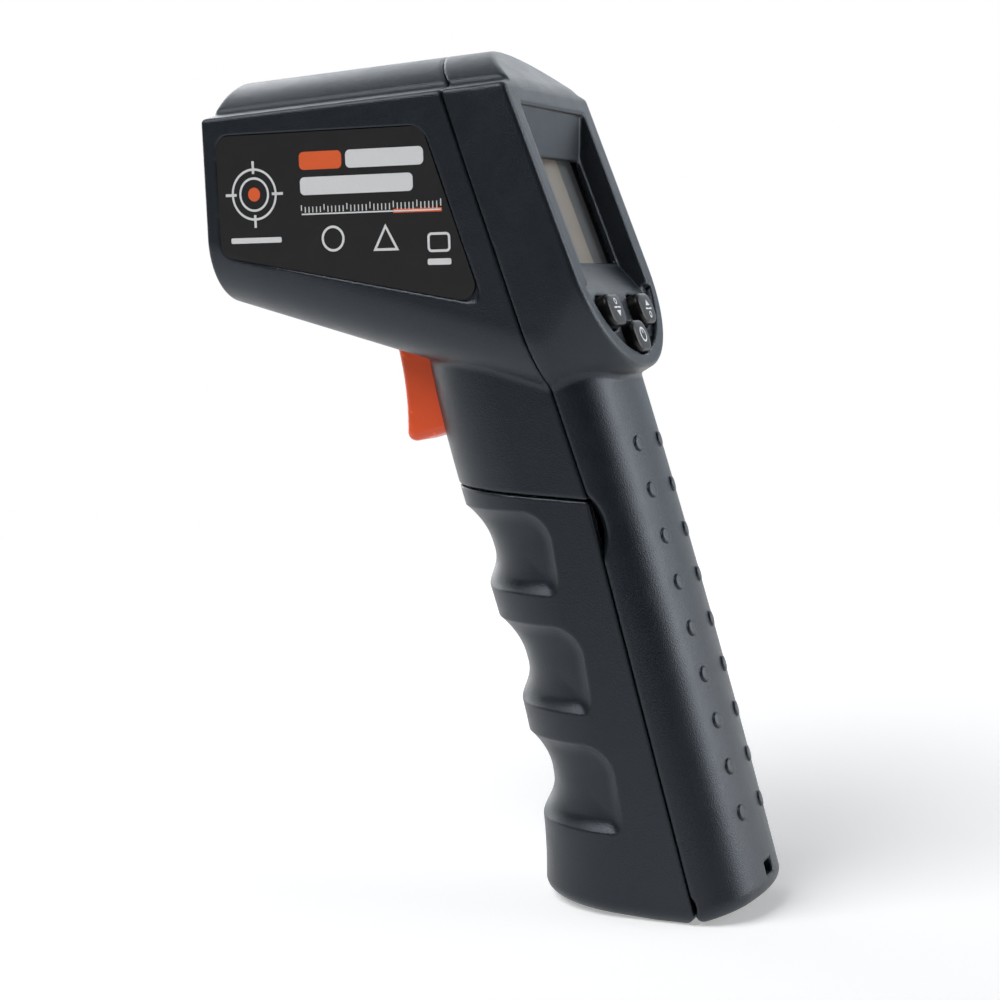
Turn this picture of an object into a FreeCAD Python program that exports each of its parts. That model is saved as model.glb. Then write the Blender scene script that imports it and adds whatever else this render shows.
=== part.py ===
import FreeCAD
import Part
import math
import os

from FreeCAD import Placement, Rotation, Vector

# A pistol-shaped infrared thermometer. Millimetres, +Z up, nose towards -X, display towards +X.
# The origin is the middle of the flat base of the handle, on the plane of symmetry (y = 0).

# ---------------------------------------------------------------- driving dimensions
SIZES = {
    # moulded walls and running gaps
    "wall": 2.0,
    "door_wall": 3.9,
    "door_gap": 0.3,
    "moving_gap": 0.35,
    "pin_gap": 0.05,
    "seat_gap": 0.1,
    # head: barrel section at the nose and how it changes towards the rear
    "nose_reach": 79.4,
    "shoulder_half_width": 21.1,
    "belly_half_width": 20.15,
    "shoulder_height": 143.9,
    "ledge_rise": 1.2,
    "crown_half_width": 16.0,
    "crown_step": 0.6,
    "crown_radius": 22.8,
    "top_slope": 0.055,
    "belly_height": 110.3,
    "belly_slope": 0.281,
    "belly_radius": 11.0,
    # joint between the front and rear mouldings
    "seam_top_x": -31.3,
    "seam_top_height": 146.0,
    "seam_slope": 0.34,
    "crown_seam_slope": 0.9,
    "handle_seam_slope": 0.2588,
    "door_top_height": 74.8,
    "door_top_slope": 0.0594,
    # display face
    "face_x": -19.0,
    "face_height": 145.6,
    "face_slope": 0.3815,
    "facet_slope": 1.25,
    "facet_start": 148.2,
    "face_half_width": 19.9,
    "face_round_height": 116.4,
    # handle
    "grip_half_width": 15.5,
    "grip_front_base": -21.6,
    "grip_front_low": -25.2,
    "grip_front_mid": -37.3,
    "grip_front_top": -43.9,
    "grip_low_height": 35.0,
    "grip_mid_height": 76.0,
    "grip_top_height": 105.0,
    "grip_front_depth": 18.6,
    "grip_rear_base": 22.8,
    "grip_rear_slope": 0.284,
    "grip_rear_radius": 32.0,
    "grip_corner_radius": 9.5,
    "base_edge_radius": 2.5,
    # finger grooves
    "groove_ring": 15.4,
    "groove_x": -15.6,
    "groove_height": 62.5,
    "groove_step_x": 5.35,
    "groove_step_height": 20.6,
    # rear grip bumps
    "bump_width": 3.0,
    "bump_rise": 0.5,
    "bump_spacing_y": 11.0,
    "bump_low_height": 18.7,
    "bump_high_height": 84.2,
    # thumb scoop behind the door edge
    "scoop_radius": 9.0,
    "scoop_depth": 1.5,
    # lanyard slot
    "lanyard_width": 4.0,
    "lanyard_opening": 2.4,
    "lanyard_height": 7.7,
    # door hinge
    "door_pivot_x": 8.9,
    "door_pin_radius": 1.0,
    "knuckle_radius": 2.9,
    "ear_inner": 5.6,
    "ear_thickness": 2.4,
    # display
    "window_top": 8.9,
    "window_length": 21.6,
    "window_half_width": 14.0,
    "window_depth": 3.6,
    "recess_top": 2.1,
    "recess_half_width": 15.3,
    "recess_bottom": 37.0,
    "pan_wall": 1.2,
    "glass_thickness": 1.0,
    "glass_margin": 1.6,
    "lcd_thickness": 1.8,
    "lcd_gap": 0.3,
    "strip_height": 2.0,
    "strip_width": 2.2,
    "board_thickness": 1.6,
    "board_half_width": 15.5,
    "board_top": 1.6,
    # keys
    "key_width": 7.4,
    "key_height": 6.0,
    "key_corner": 2.3,
    "key_proud": 1.0,
    "key_row": 40.4,
    "key_offset": 8.0,
    "mode_row": 45.5,
    "mode_width": 7.0,
    "key_floor_depth": 1.2,
    "key_floor_radius": 17.2,
    "key_floor_wall": 1.6,
    "stem_width": 5.0,
    "stem_height": 4.2,
    "pill_radius": 1.5,
    "pill_thickness": 0.6,
    "key_travel": 0.8,
    "mat_thickness": 1.2,
    # side labels
    "label_thickness": 0.35,
    "label_front": -76.9,
    "label_top": 140.7,
    "label_seam_margin": 5.6,
    "label_bottom_front": 118.9,
    "label_bottom_slope": 0.18,
    "label_corner": 2.6,
    # nose and sensor
    "nose_recess": 1.6,
    "nose_block": 8.0,
    "nose_plate_thickness": 2.2,
    "horn_height": 127.5,
    "horn_mouth_radius": 10.6,
    "horn_throat_radius": 5.2,
    "horn_wall": 0.9,
    "horn_length": 22.0,
    "horn_lip": 1.0,
    "lens_radius": 5.4,
    "lens_thickness": 1.4,
    "holder_radius": 8.0,
    "holder_length": 17.0,
    "can_radius": 4.1,
    "can_length": 4.4,
    "can_flange": 4.65,
    "lead_radius": 0.25,
    "lead_circle": 2.5,
    "sensor_board_size": 19.0,
    "sensor_board_thickness": 1.2,
    "laser_height": 144.6,
    "laser_radius": 3.1,
    "laser_length": 15.0,
    "laser_lens_radius": 1.9,
    "bulkhead_thickness": 2.0,
    # trigger
    "trigger_half_width": 5.2,
    "trigger_pivot_x": -45.0,
    "trigger_pivot_height": 106.6,
    "trigger_boss_radius": 2.8,
    "trigger_pin_radius": 1.2,
    "trigger_ear_thickness": 2.0,
    "trigger_arm_top": 107.4,
    "shelf_height": 113.6,
    "shelf_thickness": 1.5,
    "spring_x": -39.2,
    "spring_radius": 1.9,
    "spring_wire": 0.5,
    "spring_turns": 5.0,
    "switch_x": -33.0,
    "switch_gap": 0.25,
    "plunger_radius": 0.9,
    "plunger_length": 3.4,
    "switch_height": 4.6,
    "switch_length": 6.4,
    "switch_width": 10.4,
    # battery
    "battery_width": 26.0,
    "battery_depth": 17.0,
    "battery_length": 46.4,
    "battery_x": 3.1,
    "battery_height": 9.1,
    "terminal_spacing": 12.7,
    "terminal_height": 2.1,
    "stud_radius": 3.1,
    "socket_radius": 3.9,
    "snap_thickness": 2.4,
    "wire_radius": 0.65,
    # fasteners
    "screw_radius": 1.1,
    "screw_head_radius": 2.1,
    "screw_head_height": 1.3,
    "boss_radius": 2.6,
    "board_screw_length": 5.0,
    "side_screw_x": -36.0,
    "side_screw_height": 132.0,
    "side_head_height": 0.9,
    "side_screw_length": 4.2,
    "tab_thickness": 2.4,
}

doc = FreeCAD.newDocument("infrared_thermometer")
dims = doc.addObject("Spreadsheet::Sheet", "dims")
for row, (alias, value) in enumerate(SIZES.items(), start=1):
    dims.set(f"A{row}", alias)
    dims.set(f"B{row}", str(value))
    dims.setAlias(f"B{row}", alias)
doc.recompute()


def size(alias):
    """The number in the sheet's cell of that name."""
    return float(getattr(dims, alias))


NODES = []


def keep(obj, label):
    """Makes an object a sub-part with its own label."""
    obj.Label = label
    NODES.append(obj)
    return obj


def moulding(shape, label, place=None):
    """A sub-part whose free-form shape is made with Part's own functions."""
    obj = doc.addObject("Part::Feature", label + "_form")
    obj.Shape = shape
    obj.Placement = shape.Placement if place is None else place
    return keep(obj, label)


# ---------------------------------------------------------------- small geometry helpers
WIDE = 60.0      # half the width of a cutting slab, wider than the object
FAR = 250.0      # a length that reaches past the object


def polygon(points):
    """A closed wire through points."""
    return Part.makePolygon(list(points) + [points[0]])


def slab(outline, half_width=WIDE):
    """Extrudes an x-z outline to both sides of the plane y = 0."""
    wire = polygon([Vector(x, -half_width, z) for x, z in outline])
    return Part.Face(wire).extrude(Vector(0, 2 * half_width, 0))


def rounded_outline(points, radius):
    """A face in the x-y plane with its corners rounded."""
    face = Part.Face(polygon([Vector(x, y, 0) for x, y in points]))
    solid = face.extrude(Vector(0, 0, 1))
    upright = [e for e in solid.Edges if abs(e.Vertexes[0].Z - e.Vertexes[-1].Z) > 0.5]
    solid = solid.makeFillet(radius, upright)
    flat = [f for f in solid.Faces if f.CenterOfMass.z < 0.01 and f.normalAt(0, 0).z < -0.9]
    return flat[0]


def rounded_box(x_size, y_size, z_low, z_high, radius):
    """A box centred on the z axis with upright edges rounded."""
    half_x = x_size / 2
    half_y = y_size / 2
    corners = [(-half_x, -half_y), (half_x, -half_y), (half_x, half_y), (-half_x, half_y)]
    solid = rounded_outline(corners, radius).extrude(Vector(0, 0, z_high - z_low))
    return solid.translated(Vector(0, 0, z_low))


def centred_box(x_size, y_size, z_low, z_high, x=0.0, y=0.0):
    """A box centred on (x, y) from z_low to z_high."""
    corner = Vector(x - x_size / 2, y - y_size / 2, z_low)
    return Part.makeBox(x_size, y_size, z_high - z_low, corner)


def rod(radius, start, end):
    """A cylinder from start to end."""
    run = end - start
    return Part.makeCylinder(radius, run.Length, start, run)


# ---------------------------------------------------------------- head
NOSE_X = -size("nose_reach")
REAR_SECTION_X = 12.0


def barrel_section(x, inset):
    """The closed head section in the plane at x, moved inwards by inset."""
    along = x - NOSE_X
    top = size("top_slope") * along - inset
    belly = size("belly_height") - size("belly_slope") * along + inset
    shoulder = size("shoulder_height") + top
    ledge = shoulder + size("ledge_rise")
    foot = ledge + size("crown_step")
    wide = size("shoulder_half_width") - inset
    low_wide = size("belly_half_width") - inset
    crown = size("crown_half_width") - inset
    radius = size("belly_radius") - inset
    crown_radius = size("crown_radius") - inset
    peak = foot + crown_radius - math.sqrt(crown_radius**2 - crown**2)
    bend = radius * math.sqrt(0.5)

    def at(y, z):
        return Vector(x, y, z)

    right = [
        Part.LineSegment(at(low_wide - radius, belly), at(radius - low_wide, belly)),
        Part.Arc(at(radius - low_wide, belly),
                 at(radius - low_wide - bend, belly + radius - bend),
                 at(-low_wide, belly + radius)),
        Part.LineSegment(at(-low_wide, belly + radius), at(-wide, shoulder)),
        Part.LineSegment(at(-wide, shoulder), at(-crown, ledge)),
        Part.LineSegment(at(-crown, ledge), at(-crown, foot)),
        Part.Arc(at(-crown, foot), at(0, peak), at(crown, foot)),
        Part.LineSegment(at(crown, foot), at(crown, ledge)),
        Part.LineSegment(at(crown, ledge), at(wide, shoulder)),
        Part.LineSegment(at(wide, shoulder), at(low_wide, belly + radius)),
        Part.Arc(at(low_wide, belly + radius),
                 at(low_wide - radius + bend, belly + radius - bend),
                 at(low_wide - radius, belly)),
    ]
    return Part.Wire([curve.toShape() for curve in right])


def barrel(inset, nose_inset=0.0):
    """The head before the display face is cut, as one straight loft."""
    front = barrel_section(NOSE_X + nose_inset, inset)
    rear = barrel_section(REAR_SECTION_X, inset)
    return Part.makeLoft([front, rear], True, True)


# The display face has its own axes: s runs down the face, n points out of it.
FACE_ANGLE = math.degrees(math.atan2(1.0, size("face_slope")))
FACE_TURN = Rotation(Vector(0, 1, 0), FACE_ANGLE)
FACE_TOP = Vector(size("face_x"), 0, size("face_height"))
DOWN_FACE = FACE_TURN.multVec(Vector(1, 0, 0))
OUT_OF_FACE = FACE_TURN.multVec(Vector(0, 0, 1))
FACE_ROUND = (size("face_height") - size("face_round_height")) / -DOWN_FACE.z


def on_face(s, y=0.0, n=0.0):
    """A placement on the display face."""
    base = FACE_TOP + DOWN_FACE * s + Vector(0, y, 0) + OUT_OF_FACE * n
    return Placement(base, FACE_TURN)


def placed(shape, place):
    """A copy of a shape at a placement."""
    result = shape.copy()
    result.Placement = place.multiply(result.Placement)
    return result


def hood_section(place, half_width, bottom, radius):
    """A tall U in the local x-y plane of place: x runs down, rounded at the bottom."""
    top = -60.0
    bend = radius * math.sqrt(0.5)
    inner = half_width - radius
    side = bottom - radius
    curves = [
        Part.LineSegment(Vector(top, -half_width, 0), Vector(side, -half_width, 0)),
        Part.Arc(Vector(side, -half_width, 0), Vector(side + bend, -inner - bend, 0),
                 Vector(bottom, -inner, 0)),
        Part.LineSegment(Vector(bottom, -inner, 0), Vector(bottom, inner, 0)),
        Part.Arc(Vector(bottom, inner, 0), Vector(side + bend, inner + bend, 0),
                 Vector(side, half_width, 0)),
        Part.LineSegment(Vector(side, half_width, 0), Vector(top, half_width, 0)),
        Part.LineSegment(Vector(top, half_width, 0), Vector(top, -half_width, 0)),
    ]
    wire = Part.Wire([curve.toShape() for curve in curves])
    wire.Placement = place
    return wire


SEAM_TURN = Rotation(Vector(0, 1, 0), math.degrees(math.atan2(1.0, size("seam_slope"))))
SEAM_TOP = Vector(size("seam_top_x"), 0, size("seam_top_height"))


def hood(inset):
    """The head narrows from the seam to the rounded outline of the display face."""
    face_radius = size("face_half_width") - 1.0
    seam_down = SEAM_TURN.multVec(Vector(1, 0, 0))
    belly_rise = size("belly_height") + size("belly_slope") * NOSE_X
    depth = size("seam_top_height") - belly_rise + size("belly_slope") * size("seam_top_x")
    seam_bottom = depth / (-seam_down.z - size("belly_slope") * seam_down.x)
    face_bottom = FACE_ROUND + size("face_half_width")
    half_width = size("shoulder_half_width") - inset
    seam = hood_section(Placement(SEAM_TOP, SEAM_TURN), half_width,
                        seam_bottom - inset, size("belly_radius") + 2.0 - inset)
    face = hood_section(on_face(0), size("face_half_width") - inset,
                        face_bottom - inset, face_radius - inset)
    return Part.makeLoft([seam, face], True, True)


def behind_seam():
    """Everything behind the joint of the two mouldings, as one solid."""
    high = size("seam_top_height") + 2.0
    high_x = size("seam_top_x") - 2.0 * size("seam_slope")
    low = size("door_top_height")
    low_x = size("seam_top_x") + (size("seam_top_height") - low) * size("seam_slope")
    top_x = high_x - 30.0 * size("crown_seam_slope")
    base_x = low_x + (low + 20.0) * size("handle_seam_slope")
    return slab([(top_x, high + 30.0), (high_x, high), (low_x, low), (base_x, -20.0),
                 (FAR, -20.0), (FAR, high + 30.0)])


def under_face(inset):
    """Everything under the display face and the sloped facet above it."""
    start = size("facet_start")
    x_start = size("face_x") - size("face_slope") * (start - size("face_height")) - inset
    low_x = x_start + size("face_slope") * (start + 20.0)
    top_x = x_start - size("facet_slope") * 30.0
    return slab([(-FAR, -20.0), (low_x, -20.0), (x_start, start), (top_x, start + 30.0),
                 (-FAR, start + 30.0)])


def head(inset, nose_inset=0.0):
    """The whole head as one solid, moved inwards by inset."""
    body = barrel(inset, nose_inset)
    rear = behind_seam()
    ahead = body.cut(rear)
    behind = body.common(rear).common(hood(inset))
    # the walls are square to their faces, so a sloping face moves further along x
    along_x = inset / math.sin(math.radians(FACE_ANGLE))
    return ahead.fuse(behind).common(under_face(along_x)).removeSplitter()


# ---------------------------------------------------------------- handle
def grip_rear(z):
    """The rear of the handle on the plane of symmetry."""
    return size("grip_rear_base") - size("grip_rear_slope") * z


def grip_section(z, front, front_inset, inset):
    """The closed handle section at height z: oval front, straight sides, crowned rear."""
    half = size("grip_half_width") - inset
    x_front = front + front_inset
    x_oval = front + size("grip_front_depth")
    crown = size("grip_rear_radius") - inset
    corner = size("grip_corner_radius") - inset
    centre = grip_rear(z) - size("grip_rear_radius")
    reach = crown - corner
    corner_x = centre + math.sqrt(reach**2 - (half - corner)**2)
    turn = math.atan2(half - corner, corner_x - centre)
    meet = Vector(centre + crown * math.cos(turn), crown * math.sin(turn), z)
    middle = (turn + math.pi / 2) / 2
    bend = Vector(corner_x + corner * math.cos(middle), half - corner + corner * math.sin(middle), z)

    def flipped(point):
        return Vector(point.x, -point.y, point.z)

    corner_end = Vector(corner_x, half, z)
    oval_end = Vector(x_oval, half, z)
    curves = [
        oval_front(x_oval, x_front, half, z),
        Part.LineSegment(flipped(oval_end), flipped(corner_end)),
        Part.Arc(flipped(corner_end), flipped(bend), flipped(meet)),
        Part.Arc(flipped(meet), Vector(centre + crown, 0, z), meet),
        Part.Arc(meet, bend, corner_end),
        Part.LineSegment(corner_end, oval_end),
    ]
    return Part.Wire([curve.toShape() for curve in curves])


def oval_front(x_oval, x_front, half, z):
    """Half an ellipse round the front of the handle, from +y to -y."""
    depth = x_oval - x_front
    middle = Vector(x_oval, 0, z)
    if depth > half:
        oval = Part.Ellipse(Vector(x_front, 0, z), Vector(x_oval, half, z), middle)
    else:
        oval = Part.Ellipse(Vector(x_oval, half, z), Vector(x_front, 0, z), middle)
    start = oval.parameter(Vector(x_oval, half, z))
    end = oval.parameter(Vector(x_oval, -half, z))
    arc = Part.ArcOfEllipse(oval, start, end)
    if arc.value((arc.FirstParameter + arc.LastParameter) / 2).x > x_oval:
        arc = Part.ArcOfEllipse(oval, end, start)
    return arc


def grip(front_inset, inset, low=0.0):
    """The handle as one solid."""
    stations = [(0.0, size("grip_front_base")), (size("grip_low_height"), size("grip_front_low")),
                (size("grip_mid_height"), size("grip_front_mid")),
                (size("grip_top_height"), size("grip_front_top"))]
    wires = [grip_section(z, front, front_inset, inset) for z, front in stations]
    solid = Part.makeLoft(wires, True, False)
    if low > 0:
        solid = solid.cut(slab([(-FAR, -20.0), (FAR, -20.0), (FAR, low), (-FAR, low)]))
    return solid


# ---------------------------------------------------------------- the three mouldings
WALL = size("wall")
NOSE_BLOCK = size("nose_block")


def above_door(gap=0.0):
    """Everything above the joint over the battery door, raised by gap."""
    low = size("door_top_height") + gap
    low_x = size("seam_top_x") + (size("seam_top_height") - low) * size("seam_slope")
    rise = FAR * size("door_top_slope")
    return slab([(low_x - FAR, low + rise), (low_x + FAR, low - rise),
                 (low_x + FAR, FAR), (low_x - FAR, FAR)])


def groove_cutter(index):
    """A ring round the front of the handle that leaves one finger groove."""
    ring = size("groove_ring")
    x = size("groove_x") + index * size("groove_step_x")
    z = size("groove_height") - index * size("groove_step_height")

    def at(reach, rise):
        return Vector(x - ring - reach, 0, z + rise)

    curves = [
        Part.Arc(at(1.3, -7.0), at(0.0, -0.3), at(0.9, 6.2)),
        Part.Arc(at(0.9, 6.2), at(2.4, 9.0), at(6.0, 10.2)),
        Part.LineSegment(at(6.0, 10.2), at(12.0, 10.8)),
        Part.LineSegment(at(12.0, 10.8), at(12.0, -16.0)),
        Part.Arc(at(12.0, -16.0), at(4.2, -11.2), at(1.3, -7.0)),
    ]
    profile = Part.Face(Part.Wire([curve.toShape() for curve in curves]))
    ring_solid = profile.revolve(Vector(x, 0, 0), Vector(0, 0, 1), 180)
    return ring_solid.rotated(Vector(x, 0, 0), Vector(0, 0, 1), -90)


def bump_places():
    """Centres of the raised dots on the rear of the handle."""
    rows = 9
    low = size("bump_low_height")
    step = (size("bump_high_height") - low) / (rows - 1)
    y = size("bump_spacing_y") / 2
    radius = size("grip_rear_radius")
    for row in range(rows):
        z = low + row * step
        x = grip_rear(z) - radius + math.sqrt(radius**2 - y**2)
        for side in (-1, 1):
            yield Vector(x, side * y, z)


def bump_cap(place):
    """One raised dot: a ball mostly sunk in the wall."""
    half = size("bump_width") / 2
    rise = size("bump_rise")
    radius = (half**2 + rise**2) / (2 * rise)
    return Part.makeSphere(radius, place - Vector(radius - rise, 0, 0))


def scoop_cutters():
    """The thumbnail scoops beside the top of the door."""
    radius = size("scoop_radius")
    out = size("grip_half_width") + radius - size("scoop_depth")
    z = size("door_top_height") - 5.0
    x = size("seam_top_x") + (size("seam_top_height") - size("door_top_height")) \
        * size("seam_slope") + 5.0 * size("handle_seam_slope") - 0.8
    return [Part.makeSphere(radius, Vector(x, side * out, z)) for side in (-1, 1)]


DOOR_PIVOT = Vector(size("door_pivot_x"), 0, size("knuckle_radius"))


def along_y(radius, half_length, centre):
    """A cylinder along y, centred on a point."""
    return rod(radius, centre - Vector(0, half_length, 0), centre + Vector(0, half_length, 0))


def trigger_pivot():
    """The axis of the trigger's pin, on the plane of symmetry."""
    return Vector(size("trigger_pivot_x"), 0, size("trigger_pivot_height"))


def label_band(side, thickness, gap=0.0):
    """The skin of the barrel's side wall under the label, thickness deep."""
    margin = size("label_seam_margin")
    top = size("label_top")
    low_front = size("label_bottom_front")
    slope = size("label_bottom_slope")
    front = size("label_front")
    seam_foot = size("seam_top_x") - margin + size("seam_slope") * size("seam_top_height")
    rear_top = seam_foot - size("seam_slope") * top
    rear_low = (seam_foot - size("seam_slope") * (low_front + slope * front)) \
        / (1 - size("seam_slope") * slope)
    low_rear = low_front - slope * (rear_low - front)
    corners = [(front, low_front), (rear_low, low_rear), (rear_top, top), (front, top)]
    face = rounded_outline(corners, size("label_corner"))
    if gap > 0:
        face = face.makeOffset2D(gap)
    face.rotate(Vector(0, 0, 0), Vector(1, 0, 0), 90)
    prism = face.extrude(Vector(0, side * FAR, 0))
    return prism.common(barrel(0).cut(barrel(thickness, -5.0)))


def key_places():
    """Name, position down the face, offset and width of each key."""
    return [("left", size("key_row"), -size("key_offset"), size("key_width")),
            ("right", size("key_row"), size("key_offset"), size("key_width")),
            ("mode", size("mode_row"), 0.0, size("mode_width"))]


def key_block(s, y, width, low, high, gap=0.0):
    """The rounded block of a key, between two heights above the face."""
    block = rounded_box(size("key_height") + 2 * gap, width + 2 * gap, low, high,
                        size("key_corner") + gap)
    return placed(block.translated(Vector(0, y, 0)), on_face(s))


def face_loft(outline_high, outline_low):
    """A solid between two four-cornered outlines in face axes."""
    wires = []
    for points in (outline_high, outline_low):
        wires.append(placed(polygon([Vector(*point) for point in points]), on_face(0)))
    return Part.makeLoft(wires, True, True)


def recess(grow=0.0, deeper=0.0):
    """The hollow of the display: sloping walls down to the window, then a ramp to the keys."""
    depth = size("window_depth")
    top = size("window_top")
    bottom = top + size("window_length")
    half = size("window_half_width")
    wide = size("recess_half_width") + grow
    low_half = half + grow
    floor = size("key_floor_depth")
    key_top = size("recess_bottom")
    start = size("recess_top") - grow
    mouth = [(start, -wide, 0.0), (bottom, -wide, 0.0), (bottom, wide, 0.0), (start, wide, 0.0)]
    foot = [(top - grow, -low_half, -depth - deeper), (bottom, -low_half, -depth - deeper),
            (bottom, low_half, -depth - deeper), (top - grow, low_half, -depth - deeper)]
    well = face_loft(mouth, foot)
    side = [(bottom - 0.01, 0.5), (key_top, 0.5), (key_top, -floor - deeper),
            (bottom - 0.01, -depth - deeper)]
    ramp_wire = polygon([Vector(s, -half - 0.6 - grow, n) for s, n in side])
    ramp = Part.Face(ramp_wire).extrude(Vector(0, 2 * (half + 0.6 + grow), 0))
    return well.fuse(placed(ramp, on_face(0)))


def key_floor(radius, low, high):
    """A tombstone slab under the keys, following the rounded end of the face."""
    start = size("recess_bottom") - 1.5
    disc = Part.makeCylinder(radius, high - low, Vector(FACE_ROUND, 0, low))
    block = centred_box(30.0, 2 * radius, low, high, x=start + 15.0)
    return placed(disc.common(block), on_face(0))


def boss_places():
    """Where the circuit board is screwed down: position down the face and offset."""
    return [(4.4, -13.0), (4.4, 13.0), (35.2, -12.8), (35.2, 12.8)]


WINDOW_LOW = -size("window_depth") - size("pan_wall")
GLASS_LOW = WINDOW_LOW - size("glass_thickness")
LCD_HIGH = GLASS_LOW - size("lcd_gap")
LCD_LOW = LCD_HIGH - size("lcd_thickness")
BOARD_HIGH = LCD_LOW - size("strip_height")
BOARD_LOW = BOARD_HIGH - size("board_thickness")
MAT_HIGH = BOARD_HIGH + size("mat_thickness")
PILL_LOW = BOARD_HIGH + size("key_travel") + 0.1
PILL_HIGH = PILL_LOW + size("pill_thickness")
KEY_FLOOR_LOW = -size("key_floor_depth") - size("key_floor_wall")


def mouldings():
    """The outer body, hollowed and split into front shell, rear shell and door."""
    handle = grip(0.0, 0.0)
    low_edges = [edge for edge in handle.Edges if edge.BoundBox.ZMax < 1.0]
    handle = handle.makeFillet(size("base_edge_radius"), low_edges)
    outside = head(0.0).fuse(handle)
    hollow_head = head(WALL, NOSE_BLOCK)
    hollow_grip = grip(size("door_wall"), WALL, WALL)
    hollow_front = grip(WALL, WALL, WALL).common(above_door(WALL))
    hollow = hollow_head.fuse(hollow_grip)
    rear = behind_seam()
    front = outside.cut(hollow_head.fuse(hollow_front)).cut(rear).common(above_door())
    back = outside.common(rear)
    door_limit = rear.translated(Vector(-size("door_gap"), 0, 0))
    door = handle.cut(hollow_grip).cut(door_limit).cut(above_door(-size("door_gap")))
    return outside, hollow, front, back, door


def bound(kind, name, place, **expressions):
    """A Part primitive whose properties are bound to the sheet."""
    obj = doc.addObject("Part::" + kind, name)
    for prop, expression in expressions.items():
        obj.setExpression(prop, expression)
    obj.Placement = place
    return obj


ALONG_X = Rotation(Vector(0, 1, 0), 90)
ALONG_Y = Rotation(Vector(1, 0, 0), -90)


def joined(label, first, *others):
    """A sub-part fused from other objects of the document."""
    whole = first
    for index, other in enumerate(others):
        fuse = doc.addObject("Part::Fuse", f"{label}_fuse{index}")
        fuse.Base = whole
        fuse.Tool = other
        whole = fuse
    return keep(whole, label)


def less(name, base, tool):
    """An object with another cut from it."""
    cut = doc.addObject("Part::Cut", name)
    cut.Base = base
    cut.Tool = tool
    return cut


def plane_of(body, role):
    """One of a body's own origin planes."""
    return [f for f in body.Origin.OriginFeatures if f.Role == role][0]


def sketch_of(body, name, role, curves):
    """A sketch on an origin plane of the body."""
    sketch = body.newObject("Sketcher::SketchObject", name)
    sketch.AttachmentSupport = [(plane_of(body, role), "")]
    sketch.MapMode = "FlatFace"
    for curve in curves:
        sketch.addGeometry(curve, False)
    return sketch


def segments(points):
    """Line segments through 2-D points, closed."""
    loop = [Vector(a, b, 0) for a, b in points]
    return [Part.LineSegment(p, q) for p, q in zip(loop, loop[1:] + loop[:1])]


def turned_body(label, profile, place):
    """A PartDesign body turned about its own z axis from a radius-height profile."""
    body = doc.addObject("PartDesign::Body", label + "_body")
    sketch = sketch_of(body, label + "_profile", "XZ_Plane", segments(profile))
    turn = body.newObject("PartDesign::Revolution", label + "_turn")
    turn.Profile = sketch
    turn.ReferenceAxis = (sketch, ["V_Axis"])
    turn.Angle = 360
    body.Placement = place
    return keep(body, label)


# ---------------------------------------------------------------- outer mouldings
def horn_outer(x):
    """Outer radius of the horn at x."""
    start = NOSE_X + size("nose_recess") + size("horn_lip")
    share = (x - start) / size("horn_length")
    mouth = size("horn_mouth_radius") + size("horn_wall")
    throat = size("horn_throat_radius") + size("horn_wall")
    return mouth + (throat - mouth) * share


PLATE_X = NOSE_X + size("nose_recess")
PLATE_BACK = PLATE_X + size("nose_plate_thickness")
HORN_X = PLATE_X + size("horn_lip")
HORN_END = HORN_X + size("horn_length")
SENSOR_AXIS = Vector(0, 0, size("horn_height"))


def at_x(x, y=0.0, z=0.0):
    """A placement whose own z axis runs along +X."""
    return Placement(Vector(x, y, z), ALONG_X)


def between_x(low, high):
    """A slab between two planes square to x."""
    return slab([(low, -20.0), (high, -20.0), (high, FAR), (low, FAR)])


def trigger_ears():
    """Two plates that carry the trigger's pin, joined by the shelf over its arm."""
    inner = size("trigger_half_width") + 0.5
    thick = size("trigger_ear_thickness")
    pivot = trigger_pivot()
    shelf = size("shelf_height")
    top = shelf + size("shelf_thickness")
    rear = size("switch_x") + size("switch_length") / 2 + 1.0
    outline = [(pivot.x - 5.0, pivot.z - 6.5), (pivot.x - 5.0, pivot.z + 3.5),
               (pivot.x + 1.0, top), (rear, top), (rear, shelf - size("switch_height")),
               (pivot.x + 6.0, pivot.z - 3.0), (pivot.x + 6.0, pivot.z - 9.5)]
    both = slab(outline, inner + thick).cut(slab(outline, inner))
    plate = centred_box(rear - pivot.x - 1.0, 2 * (inner + thick), shelf, top,
                        x=(rear + pivot.x + 1.0) / 2)
    return both.fuse(plate)


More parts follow.
